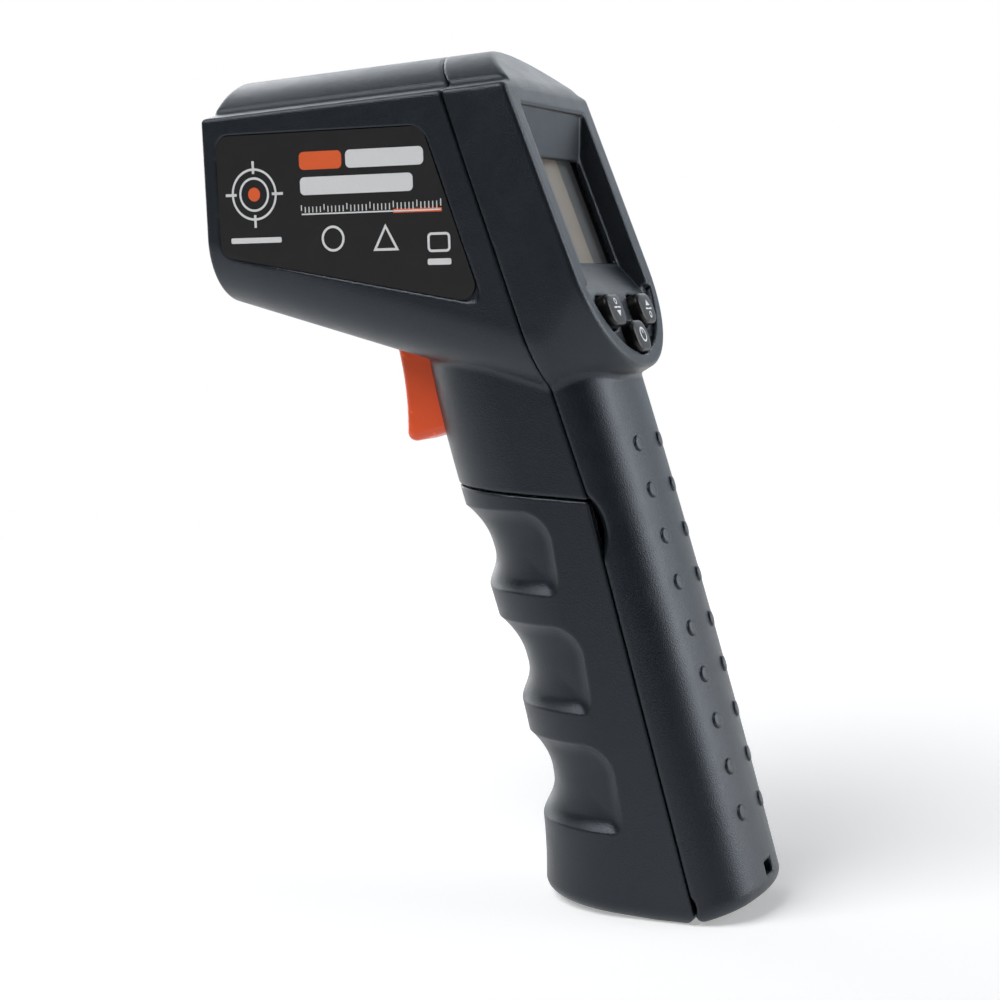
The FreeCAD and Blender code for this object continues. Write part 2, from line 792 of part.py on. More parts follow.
def front_shell(front, outside):
    """Barrel and upper handle, with the nose pocket, trigger slot and label seats."""
    gap = size("seat_gap")
    pivot = trigger_pivot()
    inner = barrel(WALL)
    bulkhead = inner.common(between_x(HORN_END + 1.0, HORN_END + 1.0 + size("bulkhead_thickness")))
    bulkhead = bulkhead.cut(slab([(-FAR, 0), (FAR, 0), (FAR, 113.0), (-FAR, 113.0)]))
    shell = front.fuse(bulkhead).fuse(trigger_ears().common(outside))
    pocket = barrel(WALL, -5.0).common(between_x(-FAR, PLATE_BACK))
    shell = shell.cut(pocket)
    for axis, radius in ((size("horn_height"), horn_outer(PLATE_BACK) + gap),
                         (size("laser_height"), size("laser_radius") + gap)):
        shell = shell.cut(rod(radius, Vector(PLATE_BACK - 1.0, 0, axis),
                              Vector(NOSE_X + NOSE_BLOCK + 1.0, 0, axis)))
    shell = shell.cut(rod(size("holder_radius") + gap, SENSOR_AXIS + Vector(HORN_END - 2.0, 0, 0),
                          SENSOR_AXIS + Vector(HORN_END + 6.0, 0, 0)))
    half_slot = size("trigger_half_width") + size("moving_gap")
    shell = shell.cut(centred_box(16.0, 2 * half_slot, pivot.z - 23.3, pivot.z - 2.0,
                                  x=pivot.x + 3.0))
    shell = shell.cut(along_y(size("trigger_pin_radius"), 9.0, pivot))
    shell = shell.cut(rod(3.4, Vector(-11.5, 0, 60.0), Vector(-11.5, 0, 85.0)))
    for side in (-1, 1):
        shell = shell.cut(label_band(side, size("label_thickness"), gap))
        head_low = side_wall() - size("label_thickness") - size("side_head_height")
        shell = shell.cut(side_rod(side, size("screw_head_radius") + gap, head_low, FAR))
        shell = shell.cut(side_rod(side, size("screw_radius") + gap, 15.0, FAR))
    return shell


def side_wall():
    """Half the width of the barrel where the side screws are."""
    x = size("side_screw_x")
    z = size("side_screw_height")
    along = x - NOSE_X
    shoulder = size("shoulder_height") + size("top_slope") * along
    belly = size("belly_height") - size("belly_slope") * along + size("belly_radius")
    share = (z - belly) / (shoulder - belly)
    low = size("belly_half_width")
    return low + (size("shoulder_half_width") - low) * share


def side_rod(side, radius, low, high):
    """A cylinder along y on a side screw's axis."""
    x = size("side_screw_x")
    z = size("side_screw_height")
    return rod(radius, Vector(x, side * low, z), Vector(x, side * high, z))


def joint_tabs():
    """Tabs of the rear shell that the side screws bite into."""
    out = side_wall() - WALL - 0.15
    x = size("side_screw_x")
    z = size("side_screw_height")
    seam = size("seam_top_x") + (size("seam_top_height") - z) * size("seam_slope")
    tabs = []
    for side in (-1, 1):
        middle = side * (out - size("tab_thickness") / 2)
        tongue = centred_box(seam + 5.0 - (x - 4.0), size("tab_thickness"), z - 4.0, z + 4.0,
                             x=(seam + 5.0 + x - 4.0) / 2, y=middle)
        root = centred_box(4.0, size("tab_thickness") + 1.6, z - 4.0, z + 4.0,
                           x=seam + 4.0, y=middle + side * 0.8)
        hole = side_rod(side, size("screw_radius"), 10.0, FAR)
        tabs.append(tongue.fuse(root).cut(hole))
    return tabs


def door_ears():
    """Two ears of the rear shell that hold the door's pin."""
    reach = size("knuckle_radius") - 0.4
    ears = []
    for side in (-1, 1):
        middle = DOOR_PIVOT + Vector(0, side * (size("ear_inner") + size("ear_thickness") / 2), 0)
        disc = along_y(reach, size("ear_thickness") / 2, middle)
        bar = centred_box(11.0, size("ear_thickness"), DOOR_PIVOT.z - reach, DOOR_PIVOT.z + reach,
                          x=DOOR_PIVOT.x + 5.5, y=middle.y)
        ears.append(disc.fuse(bar))
    return ears


def rear_shell(back, hollow, outside):
    """Hood, display face and the whole rear of the handle."""
    gap = size("seat_gap")
    bumps = [bump_cap(place) for place in bump_places()]
    shell = back.fuse(bumps).cut(hollow)
    behind = behind_seam()
    handle = grip(0.0, 0.0).common(behind)
    ceiling = above_door().cut(above_door(WALL)).common(handle)
    pan = recess(size("pan_wall"), size("pan_wall")).common(outside)
    floor = key_floor(size("face_half_width") - 0.6, KEY_FLOOR_LOW, 0.0).common(outside)
    posts = [placed(Part.makeCylinder(size("boss_radius"), -2.0 - BOARD_HIGH,
                                      Vector(0, y, BOARD_HIGH)), on_face(s))
             for s, y in boss_places()]
    posts = [post.common(outside) for post in posts]
    half_rib = size("battery_depth") / 2 + 0.35
    rib_slab = slab([(-FAR, 12.0), (FAR, 12.0), (FAR, 56.0), (-FAR, 56.0)], half_rib + 1.4)
    rib_slab = rib_slab.cut(slab([(-FAR, 0), (FAR, 0), (FAR, 80.0), (-FAR, 80.0)], half_rib))
    ribs = rib_slab.common(handle).cut(door_swing_room())
    block = centred_box(12.0, size("lanyard_width") + 5.0, 0.0, 10.2, x=19.2).common(handle)
    shell = shell.fuse([ceiling, pan, floor, ribs, block] + posts + joint_tabs() + door_ears())
    shell = shell.common(outside.fuse(bumps)).cut(recess()).cut(scoop_cutters())
    ledge = 0.6
    opening = centred_box(size("window_length") - 2 * ledge,
                          2 * (size("window_half_width") - ledge), WINDOW_LOW - 1.0, 0.0,
                          x=size("window_top") + size("window_length") / 2)
    shell = shell.cut(placed(opening, on_face(0)))
    shell = shell.cut(key_floor(size("key_floor_radius"), -size("key_floor_depth"), 5.0))
    for _, s, y, width in key_places():
        shell = shell.cut(key_block(s, y, width, -6.0, 5.0, 0.25))
    for s, y in boss_places():
        hole = Part.makeCylinder(size("screw_radius"), size("board_screw_length"),
                                 Vector(0, y, BOARD_HIGH))
        shell = shell.cut(placed(hole, on_face(s)))
    shell = shell.cut(along_y(size("door_pin_radius"), 12.5, DOOR_PIVOT))
    return shell.cut(lanyard_cut())


def door_swing_room():
    """The space the knuckle of the door turns in."""
    return along_y(size("knuckle_radius") + size("moving_gap"), 30.0, DOOR_PIVOT)


def lanyard_cut():
    """A slot in at the rear of the handle and out at the base, round a small bar."""
    width = size("lanyard_width")
    opening = size("lanyard_opening")
    z = size("lanyard_height")
    inner_x = grip_rear(z) - 5.0
    across = centred_box(30.0, width, z - opening / 2, z + opening / 2, x=inner_x + 15.0)
    down = centred_box(opening, width, -1.0, z + opening / 2, x=inner_x + opening / 2)
    return across.fuse(down)


def battery_door(door):
    """The front of the grip with its finger grooves and hinge knuckles."""
    shape = door.cut([groove_cutter(index) for index in range(3)])
    heel = slab([(DOOR_PIVOT.x, -5.0), (40.0, -5.0), (40.0, DOOR_PIVOT.z),
                 (DOOR_PIVOT.x, DOOR_PIVOT.z)])
    shape = shape.cut(heel)
    knuckle = along_y(size("knuckle_radius"), 12.0, DOOR_PIVOT)
    shape = shape.fuse(knuckle)
    room = size("knuckle_radius") + size("moving_gap")
    gap = size("moving_gap")
    for side in (-1, 1):
        middle = side * (size("ear_inner") + size("ear_thickness") / 2)
        notch = centred_box(room + 10.0, size("ear_thickness") + 2 * gap, -1.0,
                            DOOR_PIVOT.z + room, x=DOOR_PIVOT.x + 5.0 - room / 2, y=middle)
        shape = shape.cut(notch)
    return shape.cut(along_y(size("door_pin_radius") + size("pin_gap"), 13.0, DOOR_PIVOT))


outside, hollow, front_form, rear_form, door_form = mouldings()
rear_form = rear_form.cut(door_swing_room())
moulding(front_shell(front_form, outside), "front_shell")
moulding(rear_shell(rear_form, hollow, outside), "rear_shell")
moulding(battery_door(door_form), "battery_door")

# ---------------------------------------------------------------- door pin
pin = bound("Cylinder", "door_pin", Placement(DOOR_PIVOT - Vector(0, 11.8, 0), ALONG_Y),
            Radius="dims.door_pin_radius", Height="2 * 11.8")
keep(pin, "door_hinge_pin")

# ---------------------------------------------------------------- labels
for side, name in ((-1, "label_left"), (1, "label_right")):
    moulding(label_band(side, size("label_thickness")), name)


# ---------------------------------------------------------------- nose: plate, horn, lens, sensor, laser
def nose_plate():
    """The plate in the nose, with the horn's mouth and the laser's hole."""
    gap = size("seat_gap")
    plate = barrel(WALL + gap, -5.0).common(between_x(PLATE_X, PLATE_BACK - 0.02))
    mouth = rod(horn_outer(HORN_X) + gap, SENSOR_AXIS + Vector(PLATE_X - 1.0, 0, 0),
                SENSOR_AXIS + Vector(PLATE_BACK + 1.0, 0, 0))
    laser = rod(size("laser_lens_radius"), Vector(PLATE_X - 1.0, 0, size("laser_height")),
                Vector(PLATE_BACK + 1.0, 0, size("laser_height")))
    return plate.cut([mouth, laser])


moulding(nose_plate(), "nose_plate")

horn = size("horn_length")
mouth_radius = size("horn_mouth_radius")
throat_radius = size("horn_throat_radius")
horn_wall = size("horn_wall")
turned_body("sensor_horn",
            [(mouth_radius, 0), (mouth_radius + horn_wall, 0), (throat_radius + horn_wall, horn),
             (throat_radius, horn)], at_x(HORN_X, 0, size("horn_height")))

holder_start = HORN_END + 0.05
lens_start = holder_start + 1.2
holder_length = size("holder_length")
lens_seat = size("lens_radius") + size("seat_gap")
can_seat = size("can_flange") + size("seat_gap")
lens_end = 1.2 + size("lens_thickness") + 0.1
turned_body("sensor_holder",
            [(throat_radius, 0), (size("holder_radius"), 0), (size("holder_radius"), holder_length),
             (can_seat, holder_length), (can_seat, holder_length - 5.4),
             (lens_seat - 1.6, holder_length - 5.4), (lens_seat - 1.6, lens_end),
             (lens_seat, lens_end), (lens_seat, 1.2), (throat_radius, 1.2)],
            at_x(holder_start, 0, size("horn_height")))
lens = bound("Cylinder", "lens_disc", at_x(lens_start, 0, size("horn_height")),
             Radius="dims.lens_radius", Height="dims.lens_thickness")
keep(lens, "infrared_lens")

can_face = holder_start + holder_length - 5.3
can = bound("Cylinder", "can_cap", at_x(can_face, 0, size("horn_height")),
            Radius="dims.can_radius", Height="dims.can_length")
flange = bound("Cylinder", "can_base", at_x(can_face + size("can_length"), 0, size("horn_height")),
               Radius="dims.can_flange", Height="0.8")
can_leads = []
board_x = can_face + size("can_length") + 0.8 + 1.2
for quarter in range(4):
    angle = math.radians(45 + 90 * quarter)
    lead = bound("Cylinder", f"can_lead{quarter}",
                 at_x(can_face + size("can_length") + 0.8, size("lead_circle") * math.cos(angle),
                      size("horn_height") + size("lead_circle") * math.sin(angle)),
                 Radius="dims.lead_radius", Height="1.2")
    can_leads.append(lead)
joined("thermopile_sensor", can, flange, *can_leads)

half_board = size("sensor_board_size") / 2
board = bound("Box", "sensor_pcb", Placement(Vector(board_x, -half_board,
              size("horn_height") - half_board), Rotation()),
              Length="dims.sensor_board_thickness", Width="dims.sensor_board_size",
              Height="dims.sensor_board_size")
keep(board, "sensor_board")

laser_x = PLATE_BACK + 0.05
laser_tube = size("laser_length")
lens_step = 1.6
turned_body("laser_barrel",
            [(size("laser_lens_radius") + 0.1, 0), (size("laser_radius"), 0),
             (size("laser_radius"), laser_tube), (1.0, laser_tube), (1.0, lens_step),
             (size("laser_lens_radius") + 0.1, lens_step)],
            at_x(laser_x, 0, size("laser_height")))
laser_glass = bound("Cylinder", "laser_glass", at_x(laser_x + 0.2, 0, size("laser_height")),
                    Radius="dims.laser_lens_radius", Height="1.2")
keep(laser_glass, "laser_lens")
laser_pcb = bound("Box", "laser_pcb",
                  Placement(Vector(laser_x + laser_tube + 0.05, -2.6, size("laser_height") - 2.6),
                            Rotation()),
                  Length="1.0", Width="5.2", Height="5.2")
keep(laser_pcb, "laser_board")


# ---------------------------------------------------------------- trigger, its pin, spring and switch
def trigger():
    """Finger piece with a hub on the pin and an arm that lifts the switch's plunger."""
    pivot = trigger_pivot()
    base = pivot.z - 22.1
    arm = size("trigger_arm_top")
    rear = size("switch_x") + 2.0
    curves = [
        Part.Arc(Vector(pivot.x - 2.6, 0, pivot.z - 5.4), Vector(pivot.x - 1.35, 0, pivot.z - 13.0),
                 Vector(pivot.x - 1.5, 0, base + 2.4)),
        Part.Arc(Vector(pivot.x - 1.5, 0, base + 2.4), Vector(pivot.x - 0.6, 0, base + 0.5),
                 Vector(pivot.x + 1.3, 0, base)),
        Part.LineSegment(Vector(pivot.x + 1.3, 0, base), Vector(pivot.x + 7.2, 0, base + 1.6)),
        Part.LineSegment(Vector(pivot.x + 7.2, 0, base + 1.6), Vector(pivot.x + 5.4, 0, arm - 3.4)),
        Part.LineSegment(Vector(pivot.x + 5.4, 0, arm - 3.4), Vector(rear, 0, arm - 2.4)),
        Part.LineSegment(Vector(rear, 0, arm - 2.4), Vector(rear, 0, arm)),
        Part.LineSegment(Vector(rear, 0, arm), Vector(pivot.x, 0, arm)),
        Part.LineSegment(Vector(pivot.x, 0, arm), Vector(pivot.x - 2.6, 0, pivot.z)),
        Part.LineSegment(Vector(pivot.x - 2.6, 0, pivot.z), Vector(pivot.x - 2.6, 0, pivot.z - 5.4)),
    ]
    half = size("trigger_half_width")
    face = Part.Face(Part.Wire([curve.toShape() for curve in curves]))
    body = face.extrude(Vector(0, 2 * half, 0)).translated(Vector(0, -half, 0))
    front = [edge for edge in body.Edges if edge.BoundBox.YLength < 0.01
             and abs(edge.BoundBox.YMin) > half - 0.01 and edge.BoundBox.ZMax < pivot.z - 5.0
             and edge.BoundBox.XMin < pivot.x + 1.2 and edge.BoundBox.XMax < pivot.x + 1.5]
    body = body.makeFillet(1.4, front)
    body = body.fuse(along_y(size("trigger_boss_radius"), half, pivot))
    hollow_low = centred_box(4.2, 2 * half - 3.2, pivot.z - 18.0, pivot.z - 5.5, x=pivot.x + 4.6)
    body = body.cut(hollow_low)
    return body.cut(along_y(size("trigger_pin_radius") + size("pin_gap"), 12.0, pivot))


moulding(trigger(), "trigger")

pin_half = size("trigger_half_width") + 0.5 + size("trigger_ear_thickness")
trigger_pin = bound("Cylinder", "trigger_axle",
                    Placement(trigger_pivot() - Vector(0, pin_half, 0), ALONG_Y),
                    Radius="dims.trigger_pin_radius",
                    Height="2 * (dims.trigger_half_width + 0.5 + dims.trigger_ear_thickness)")
keep(trigger_pin, "trigger_pin")


def coil(radius, wire, length, turns):
    """A compression spring: a wire along a helix, its ends inside its length."""
    pitch = (length - wire) / turns
    helix = Part.makeHelix(pitch, length - wire, radius)
    section = Part.Wire([Part.makeCircle(wire / 2, Vector(radius, 0, 0), Vector(0, 1, 0))])
    return Part.Wire(helix.Edges).makePipeShell([section], True, True)


spring_low = size("trigger_arm_top") + 0.05
spring_room = size("shelf_height") - spring_low - 0.05
moulding(coil(size("spring_radius"), size("spring_wire"), spring_room, size("spring_turns")),
         "trigger_spring",
         Placement(Vector(size("spring_x"), 0, spring_low + size("spring_wire") / 2), Rotation()))

switch_top = size("shelf_height") - 0.02
switch_low = switch_top - size("switch_height")
switch_case = bound("Box", "switch_case",
                    Placement(Vector(size("switch_x") - size("switch_length") / 2,
                                     -size("switch_width") / 2, switch_low), Rotation()),
                    Length="dims.switch_length", Width="dims.switch_width",
                    Height="dims.switch_height")
plunger_low = size("trigger_arm_top") + size("switch_gap")
plunger_high = plunger_low + size("plunger_length")
plunger_hole = bound("Cylinder", "plunger_hole",
                     Placement(Vector(size("switch_x"), 0, switch_low - 1.0), Rotation()),
                     Radius="dims.plunger_radius + dims.pin_gap",
                     Height=f"{plunger_high + 1.7 - switch_low + 1.0:.4f}")
keep(less("switch_bored", switch_case, plunger_hole), "trigger_switch")
plunger = bound("Cylinder", "plunger_rod",
                Placement(Vector(size("switch_x"), 0, plunger_low), Rotation()),
                Radius="dims.plunger_radius", Height="dims.plunger_length")
keep(plunger, "switch_plunger")

# ---------------------------------------------------------------- display stack, in face axes
window_middle = size("window_top") + size("window_length") / 2
half_glass = size("window_half_width") + size("glass_margin")


def plate(label, length, width, thickness, s, n_low):
    """A rectangular plate of the display stack, centred at s, its underside at n_low."""
    corner = on_face(s - length / 2, -width / 2, n_low)
    piece = bound("Box", label + "_plate", corner, Length=f"{length:.4f}", Width=f"{width:.4f}",
                  Height=thickness)
    return piece


stack_length = size("window_length") + 2 * size("glass_margin")
keep(plate("display_window", stack_length, 2 * half_glass, "dims.glass_thickness",
           window_middle, GLASS_LOW), "display_window")
keep(plate("lcd_glass", stack_length, 2 * half_glass, "dims.lcd_thickness",
           window_middle, LCD_LOW), "lcd_glass")
strip = size("strip_width")
first = plate("strip_high", strip, 2 * half_glass, "dims.strip_height",
              window_middle - stack_length / 2 + strip / 2, BOARD_HIGH)
second = plate("strip_low", strip, 2 * half_glass, "dims.strip_height",
               window_middle + stack_length / 2 - strip / 2, BOARD_HIGH)
strips = doc.addObject("Part::Compound", "strips")
strips.Links = [first, second]
keep(strips, "contact_strips")
light_length = stack_length - 2 * strip - 0.6
keep(plate("backlight", light_length, 2 * half_glass, "dims.strip_height - 0.1",
           window_middle, BOARD_HIGH), "backlight_panel")


def main_board():
    """The circuit board behind the display, rounded at the bottom like the face."""
    half = size("board_half_width")
    low = BOARD_LOW
    disc = Part.makeCylinder(half, size("board_thickness"), Vector(FACE_ROUND, 0, low))
    block = centred_box(FACE_ROUND - size("board_top"), 2 * half, low, BOARD_HIGH,
                        x=(FACE_ROUND + size("board_top")) / 2)
    board = disc.fuse(block).removeSplitter()
    for s, y in boss_places():
        board = board.cut(Part.makeCylinder(size("screw_radius") + 0.15, 10.0,
                                            Vector(s, y, low - 4.0)))
    return placed(board, on_face(0))


moulding(main_board(), "main_board")


def chips():
    """Parts soldered to the front of the board: processor, amplifier, memory, plug, capacitor."""
    pieces = [centred_box(9.0, 9.0, BOARD_LOW - 1.5, BOARD_LOW, x=22.0, y=-5.0),
              centred_box(5.0, 4.0, BOARD_LOW - 1.4, BOARD_LOW, x=31.5, y=6.0),
              centred_box(5.0, 4.0, BOARD_LOW - 1.4, BOARD_LOW, x=12.0, y=-9.0),
              centred_box(4.0, 8.0, BOARD_LOW - 4.6, BOARD_LOW, x=43.0, y=0.0),
              Part.makeCylinder(2.5, 5.0, Vector(34.5, -4.5, BOARD_LOW - 5.0))]
    return placed(Part.makeCompound(pieces), on_face(0))


moulding(chips(), "board_components")
buzzer = bound("Cylinder", "buzzer_can", on_face(15.0, 7.0, BOARD_LOW - 4.2),
               Radius="6.0", Height="4.2")
keep(buzzer, "buzzer")


def board_screws():
    """Four screws through the board into the bosses of the rear shell."""
    pieces = []
    for s, y in boss_places():
        shank = Part.makeCylinder(size("screw_radius"),
                                  size("board_screw_length") + size("board_thickness"),
                                  Vector(s, y, BOARD_LOW))
        top = Part.makeCylinder(size("screw_head_radius"), size("screw_head_height"),
                                Vector(s, y, BOARD_LOW - size("screw_head_height")))
        cross = [centred_box(2.4, 0.5, BOARD_LOW - 2.0, BOARD_LOW - 0.7, x=s, y=y),
                 centred_box(0.5, 2.4, BOARD_LOW - 2.0, BOARD_LOW - 0.7, x=s, y=y)]
        pieces.append(shank.fuse(top).cut(cross))
    return placed(Part.makeCompound(pieces), on_face(0))


moulding(board_screws(), "board_screws")


def side_screws():
    """Two flat-headed screws under the labels that join the shells."""
    pieces = []
    low = side_wall() - size("label_thickness") - size("side_head_height") + 0.02
    high = low + size("side_head_height") - 0.12
    for side in (-1, 1):
        shank = side_rod(side, size("screw_radius"), low - size("side_screw_length"), low)
        top = side_rod(side, size("screw_head_radius"), low, high)
        x = size("side_screw_x")
        z = size("side_screw_height")
        slot = centred_box(2.6, 1.0, z - 0.25, z + 0.25, x=x, y=side * high)
        pieces.append(shank.fuse(top).cut(slot))
    return Part.makeCompound(pieces)


moulding(side_screws(), "side_screws")


# ---------------------------------------------------------------- keys
def keypad_mat():
    """The rubber sheet on the board, open round each key's stem."""
    low = BOARD_HIGH
    start = window_middle + stack_length / 2 + 0.6
    radius = size("board_half_width") - 0.4
    disc = Part.makeCylinder(radius, size("mat_thickness"), Vector(FACE_ROUND, 0, low))
    block = centred_box(30.0, 2 * radius, low, MAT_HIGH, x=start + 15.0)
    mat = disc.common(block)
    for _, s, y, _ in key_places():
        mat = mat.cut(centred_box(size("stem_height") + 0.7, size("stem_width") + 0.7,
                                  low - 1.0, MAT_HIGH + 1.0, x=s, y=y))
    for s, y in boss_places():
        mat = mat.cut(Part.makeCylinder(size("boss_radius") + 0.2, 10.0, Vector(s, y, low - 1.0)))
    return placed(mat, on_face(0))


moulding(keypad_mat(), "keypad_mat")


def key(s, y, width):
    """A rubber key: a domed block on a stem."""
    high = size("key_proud")
    half_length = size("key_height") / 2
    shoulder = KEY_FLOOR_LOW + 0.6
    cap = rounded_box(size("key_height"), width, shoulder, high, size("key_corner"))
    rim = [edge for edge in cap.Edges if edge.BoundBox.ZMin > high - 0.01]
    cap = cap.makeFillet(0.9, rim)
    stem = centred_box(size("stem_height"), size("stem_width"), PILL_HIGH, shoulder + 0.5)
    return placed(cap.fuse(stem).translated(Vector(0, y, 0)), on_face(s))


for name, s, y, width in key_places():
    moulding(key(s, y, width), "key_" + name)
    pill = bound("Cylinder", "pill_disc_" + name, on_face(s, y, PILL_LOW),
                 Radius="dims.pill_radius", Height="dims.pill_thickness")
    keep(pill, "key_contact_" + name)

# ---------------------------------------------------------------- battery, its snap and leads
GRIP_LEAN = -math.degrees(math.atan(size("grip_rear_slope")))
BATTERY = Placement(Vector(size("battery_x"), 0, size("battery_height")),
                    Rotation(Vector(0, 1, 0), GRIP_LEAN))


def in_battery(x, y, z):
    """A placement in the battery's own axes, z along the handle."""
    return BATTERY.multiply(Placement(Vector(x, y, z), Rotation()))


block = bound("Box", "battery_block", in_battery(-size("battery_width") / 2,
              -size("battery_depth") / 2, 0),
              Length="dims.battery_width", Width="dims.battery_depth",
              Height="dims.battery_length")
half_spacing = size("terminal_spacing") / 2
stud = bound("Cylinder", "battery_stud", in_battery(-half_spacing, 0, size("battery_length")),
             Radius="dims.stud_radius", Height="dims.terminal_height")
socket = bound("Cylinder", "battery_socket", in_battery(half_spacing, 0, size("battery_length")),
               Radius="dims.socket_radius", Height="dims.terminal_height")
joined("battery", block, stud, socket)

snap_low = size("battery_length") + size("terminal_height") + 0.05
snap = bound("Box", "snap_plate", in_battery(-size("battery_width") / 2 + 0.5, -6.2, snap_low),
             Length="dims.battery_width - 1.0", Width="12.4", Height="dims.snap_thickness")
keep(snap, "battery_snap")


def lead(y):
    """One lead from the snap up to the plug on the board, two runs and one bend."""
    start = in_battery(0, y, snap_low + size("snap_thickness") + 0.3).Base
    end = on_face(45.0, y, BOARD_LOW - 2.4).Base
    corner = end + DOWN_FACE * 12.0
    first = (corner - start).normalize()
    second = (end - corner).normalize()
    turn = first.getAngle(second)
    cut_back = 25.0 * math.tan(turn / 2)
    before = corner - first * cut_back
    after = corner + second * cut_back
    bend = (second - first).normalize()
    middle = corner + bend * (25.0 / math.cos(turn / 2) - 25.0)
    path = Part.Wire([Part.LineSegment(start, before).toShape(),
                      Part.Arc(before, middle, after).toShape(),
                      Part.LineSegment(after, end).toShape()])
    section = Part.Wire([Part.makeCircle(size("wire_radius"), start, first)])
    return path.makePipeShell([section], True, True)


moulding(lead(-2.0), "battery_lead_black")
moulding(lead(2.0), "battery_lead_red")

# ---------------------------------------------------------------- check and write
doc.recompute()
for obj in doc.Objects:
    if "Invalid" in obj.State or "Error" in obj.State:
        raise RuntimeError(f"{obj.Name} failed: {obj.State}")
os.makedirs("parts", exist_ok=True)
for node in NODES:
    shape = node.Shape
    if shape.isNull() or not shape.isValid() or not shape.Solids:
        raise RuntimeError(f"{node.Label} has no valid solid")
    shape.exportStep(f"parts/{node.Label}.step")
    print(node.Label, len(shape.Solids), round(shape.Volume, 1))
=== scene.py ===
"""A pistol-shaped infrared thermometer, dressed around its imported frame.

Sizes inside the moulding classes are in millimetres; every Blender mesh is in metres.
"""
import logging
import math
from dataclasses import dataclass, field
from enum import Enum
from typing import Any, Callable, Iterable, Iterator, Sequence

import bmesh
import bpy
import numpy as np
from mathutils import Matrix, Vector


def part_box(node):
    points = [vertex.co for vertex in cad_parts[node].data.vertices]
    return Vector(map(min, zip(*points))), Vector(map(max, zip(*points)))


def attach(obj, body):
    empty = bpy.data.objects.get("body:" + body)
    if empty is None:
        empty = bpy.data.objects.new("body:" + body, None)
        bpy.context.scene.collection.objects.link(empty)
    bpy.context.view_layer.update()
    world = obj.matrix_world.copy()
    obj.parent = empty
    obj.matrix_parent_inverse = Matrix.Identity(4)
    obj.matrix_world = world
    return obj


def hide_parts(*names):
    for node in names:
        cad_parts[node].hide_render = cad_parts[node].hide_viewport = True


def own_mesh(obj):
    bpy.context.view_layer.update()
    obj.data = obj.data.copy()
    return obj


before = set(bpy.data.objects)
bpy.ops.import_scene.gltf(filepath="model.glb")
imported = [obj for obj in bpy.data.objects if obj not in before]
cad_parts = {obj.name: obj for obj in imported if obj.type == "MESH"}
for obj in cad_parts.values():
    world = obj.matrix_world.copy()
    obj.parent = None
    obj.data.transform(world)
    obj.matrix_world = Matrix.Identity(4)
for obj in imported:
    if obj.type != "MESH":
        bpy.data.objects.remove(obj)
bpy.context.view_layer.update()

import openvdb
from mathutils import Matrix, Vector

MM = 0.001
LOG = logging.getLogger("infrared_thermometer")
Array = np.ndarray
Point = tuple[float, float, float]
Colour = tuple[float, float, float]
WHITE = (1.0, 1.0, 1.0)


# ------------------------------------------------------------------ shader maths
class Value:
    """A shader socket that can be added, multiplied and compared like a number."""

    def __init__(self, graph: "Graph", socket: bpy.types.NodeSocket) -> None:
        """Wraps a socket.

        Args:
            graph: The node graph that the socket belongs to.
            socket: The output socket to wrap.
        """
        self.graph = graph
        self.socket = socket

    def _math(self, operation: str, first: Any, second: Any) -> "Value":
        """Adds one Math node and returns its result."""
        return self.graph.node("ShaderNodeMath", {"operation": operation}, {0: first, 1: second})

    def __add__(self, other: Any) -> "Value":
        """This value plus another."""
        return self._math("ADD", self, other)

    def __radd__(self, other: Any) -> "Value":
        """A number plus this value."""
        return self._math("ADD", other, self)

    def __sub__(self, other: Any) -> "Value":
        """This value less another."""
        return self._math("SUBTRACT", self, other)

    def __rsub__(self, other: Any) -> "Value":
        """A number less this value."""
        return self._math("SUBTRACT", other, self)

    def __mul__(self, other: Any) -> "Value":
        """This value times another."""
        return self._math("MULTIPLY", self, other)

    def __rmul__(self, other: Any) -> "Value":
        """A number times this value."""
        return self._math("MULTIPLY", other, self)

    def __gt__(self, other: Any) -> "Value":
        """One where this value is greater, else nought."""
        return self._math("GREATER_THAN", self, other)

    def __lt__(self, other: Any) -> "Value":
        """One where this value is less, else nought."""
        return self._math("LESS_THAN", self, other)

    def ramp(self, low: float, high: float) -> "Value":
        """A smooth step from nought at low to one at high.

        Args:
            low: Where the step starts.
            high: Where it ends.

        Returns:
            The step's value.
        """
        settings = {"interpolation_type": "SMOOTHSTEP"}
        sockets = {"Value": self, "From Min": low, "From Max": high}
        return self.graph.node("ShaderNodeMapRange", settings, sockets)

    def wave(self) -> "Value":
        """The sine of this value."""
        return self._math("SINE", self, 0.0)


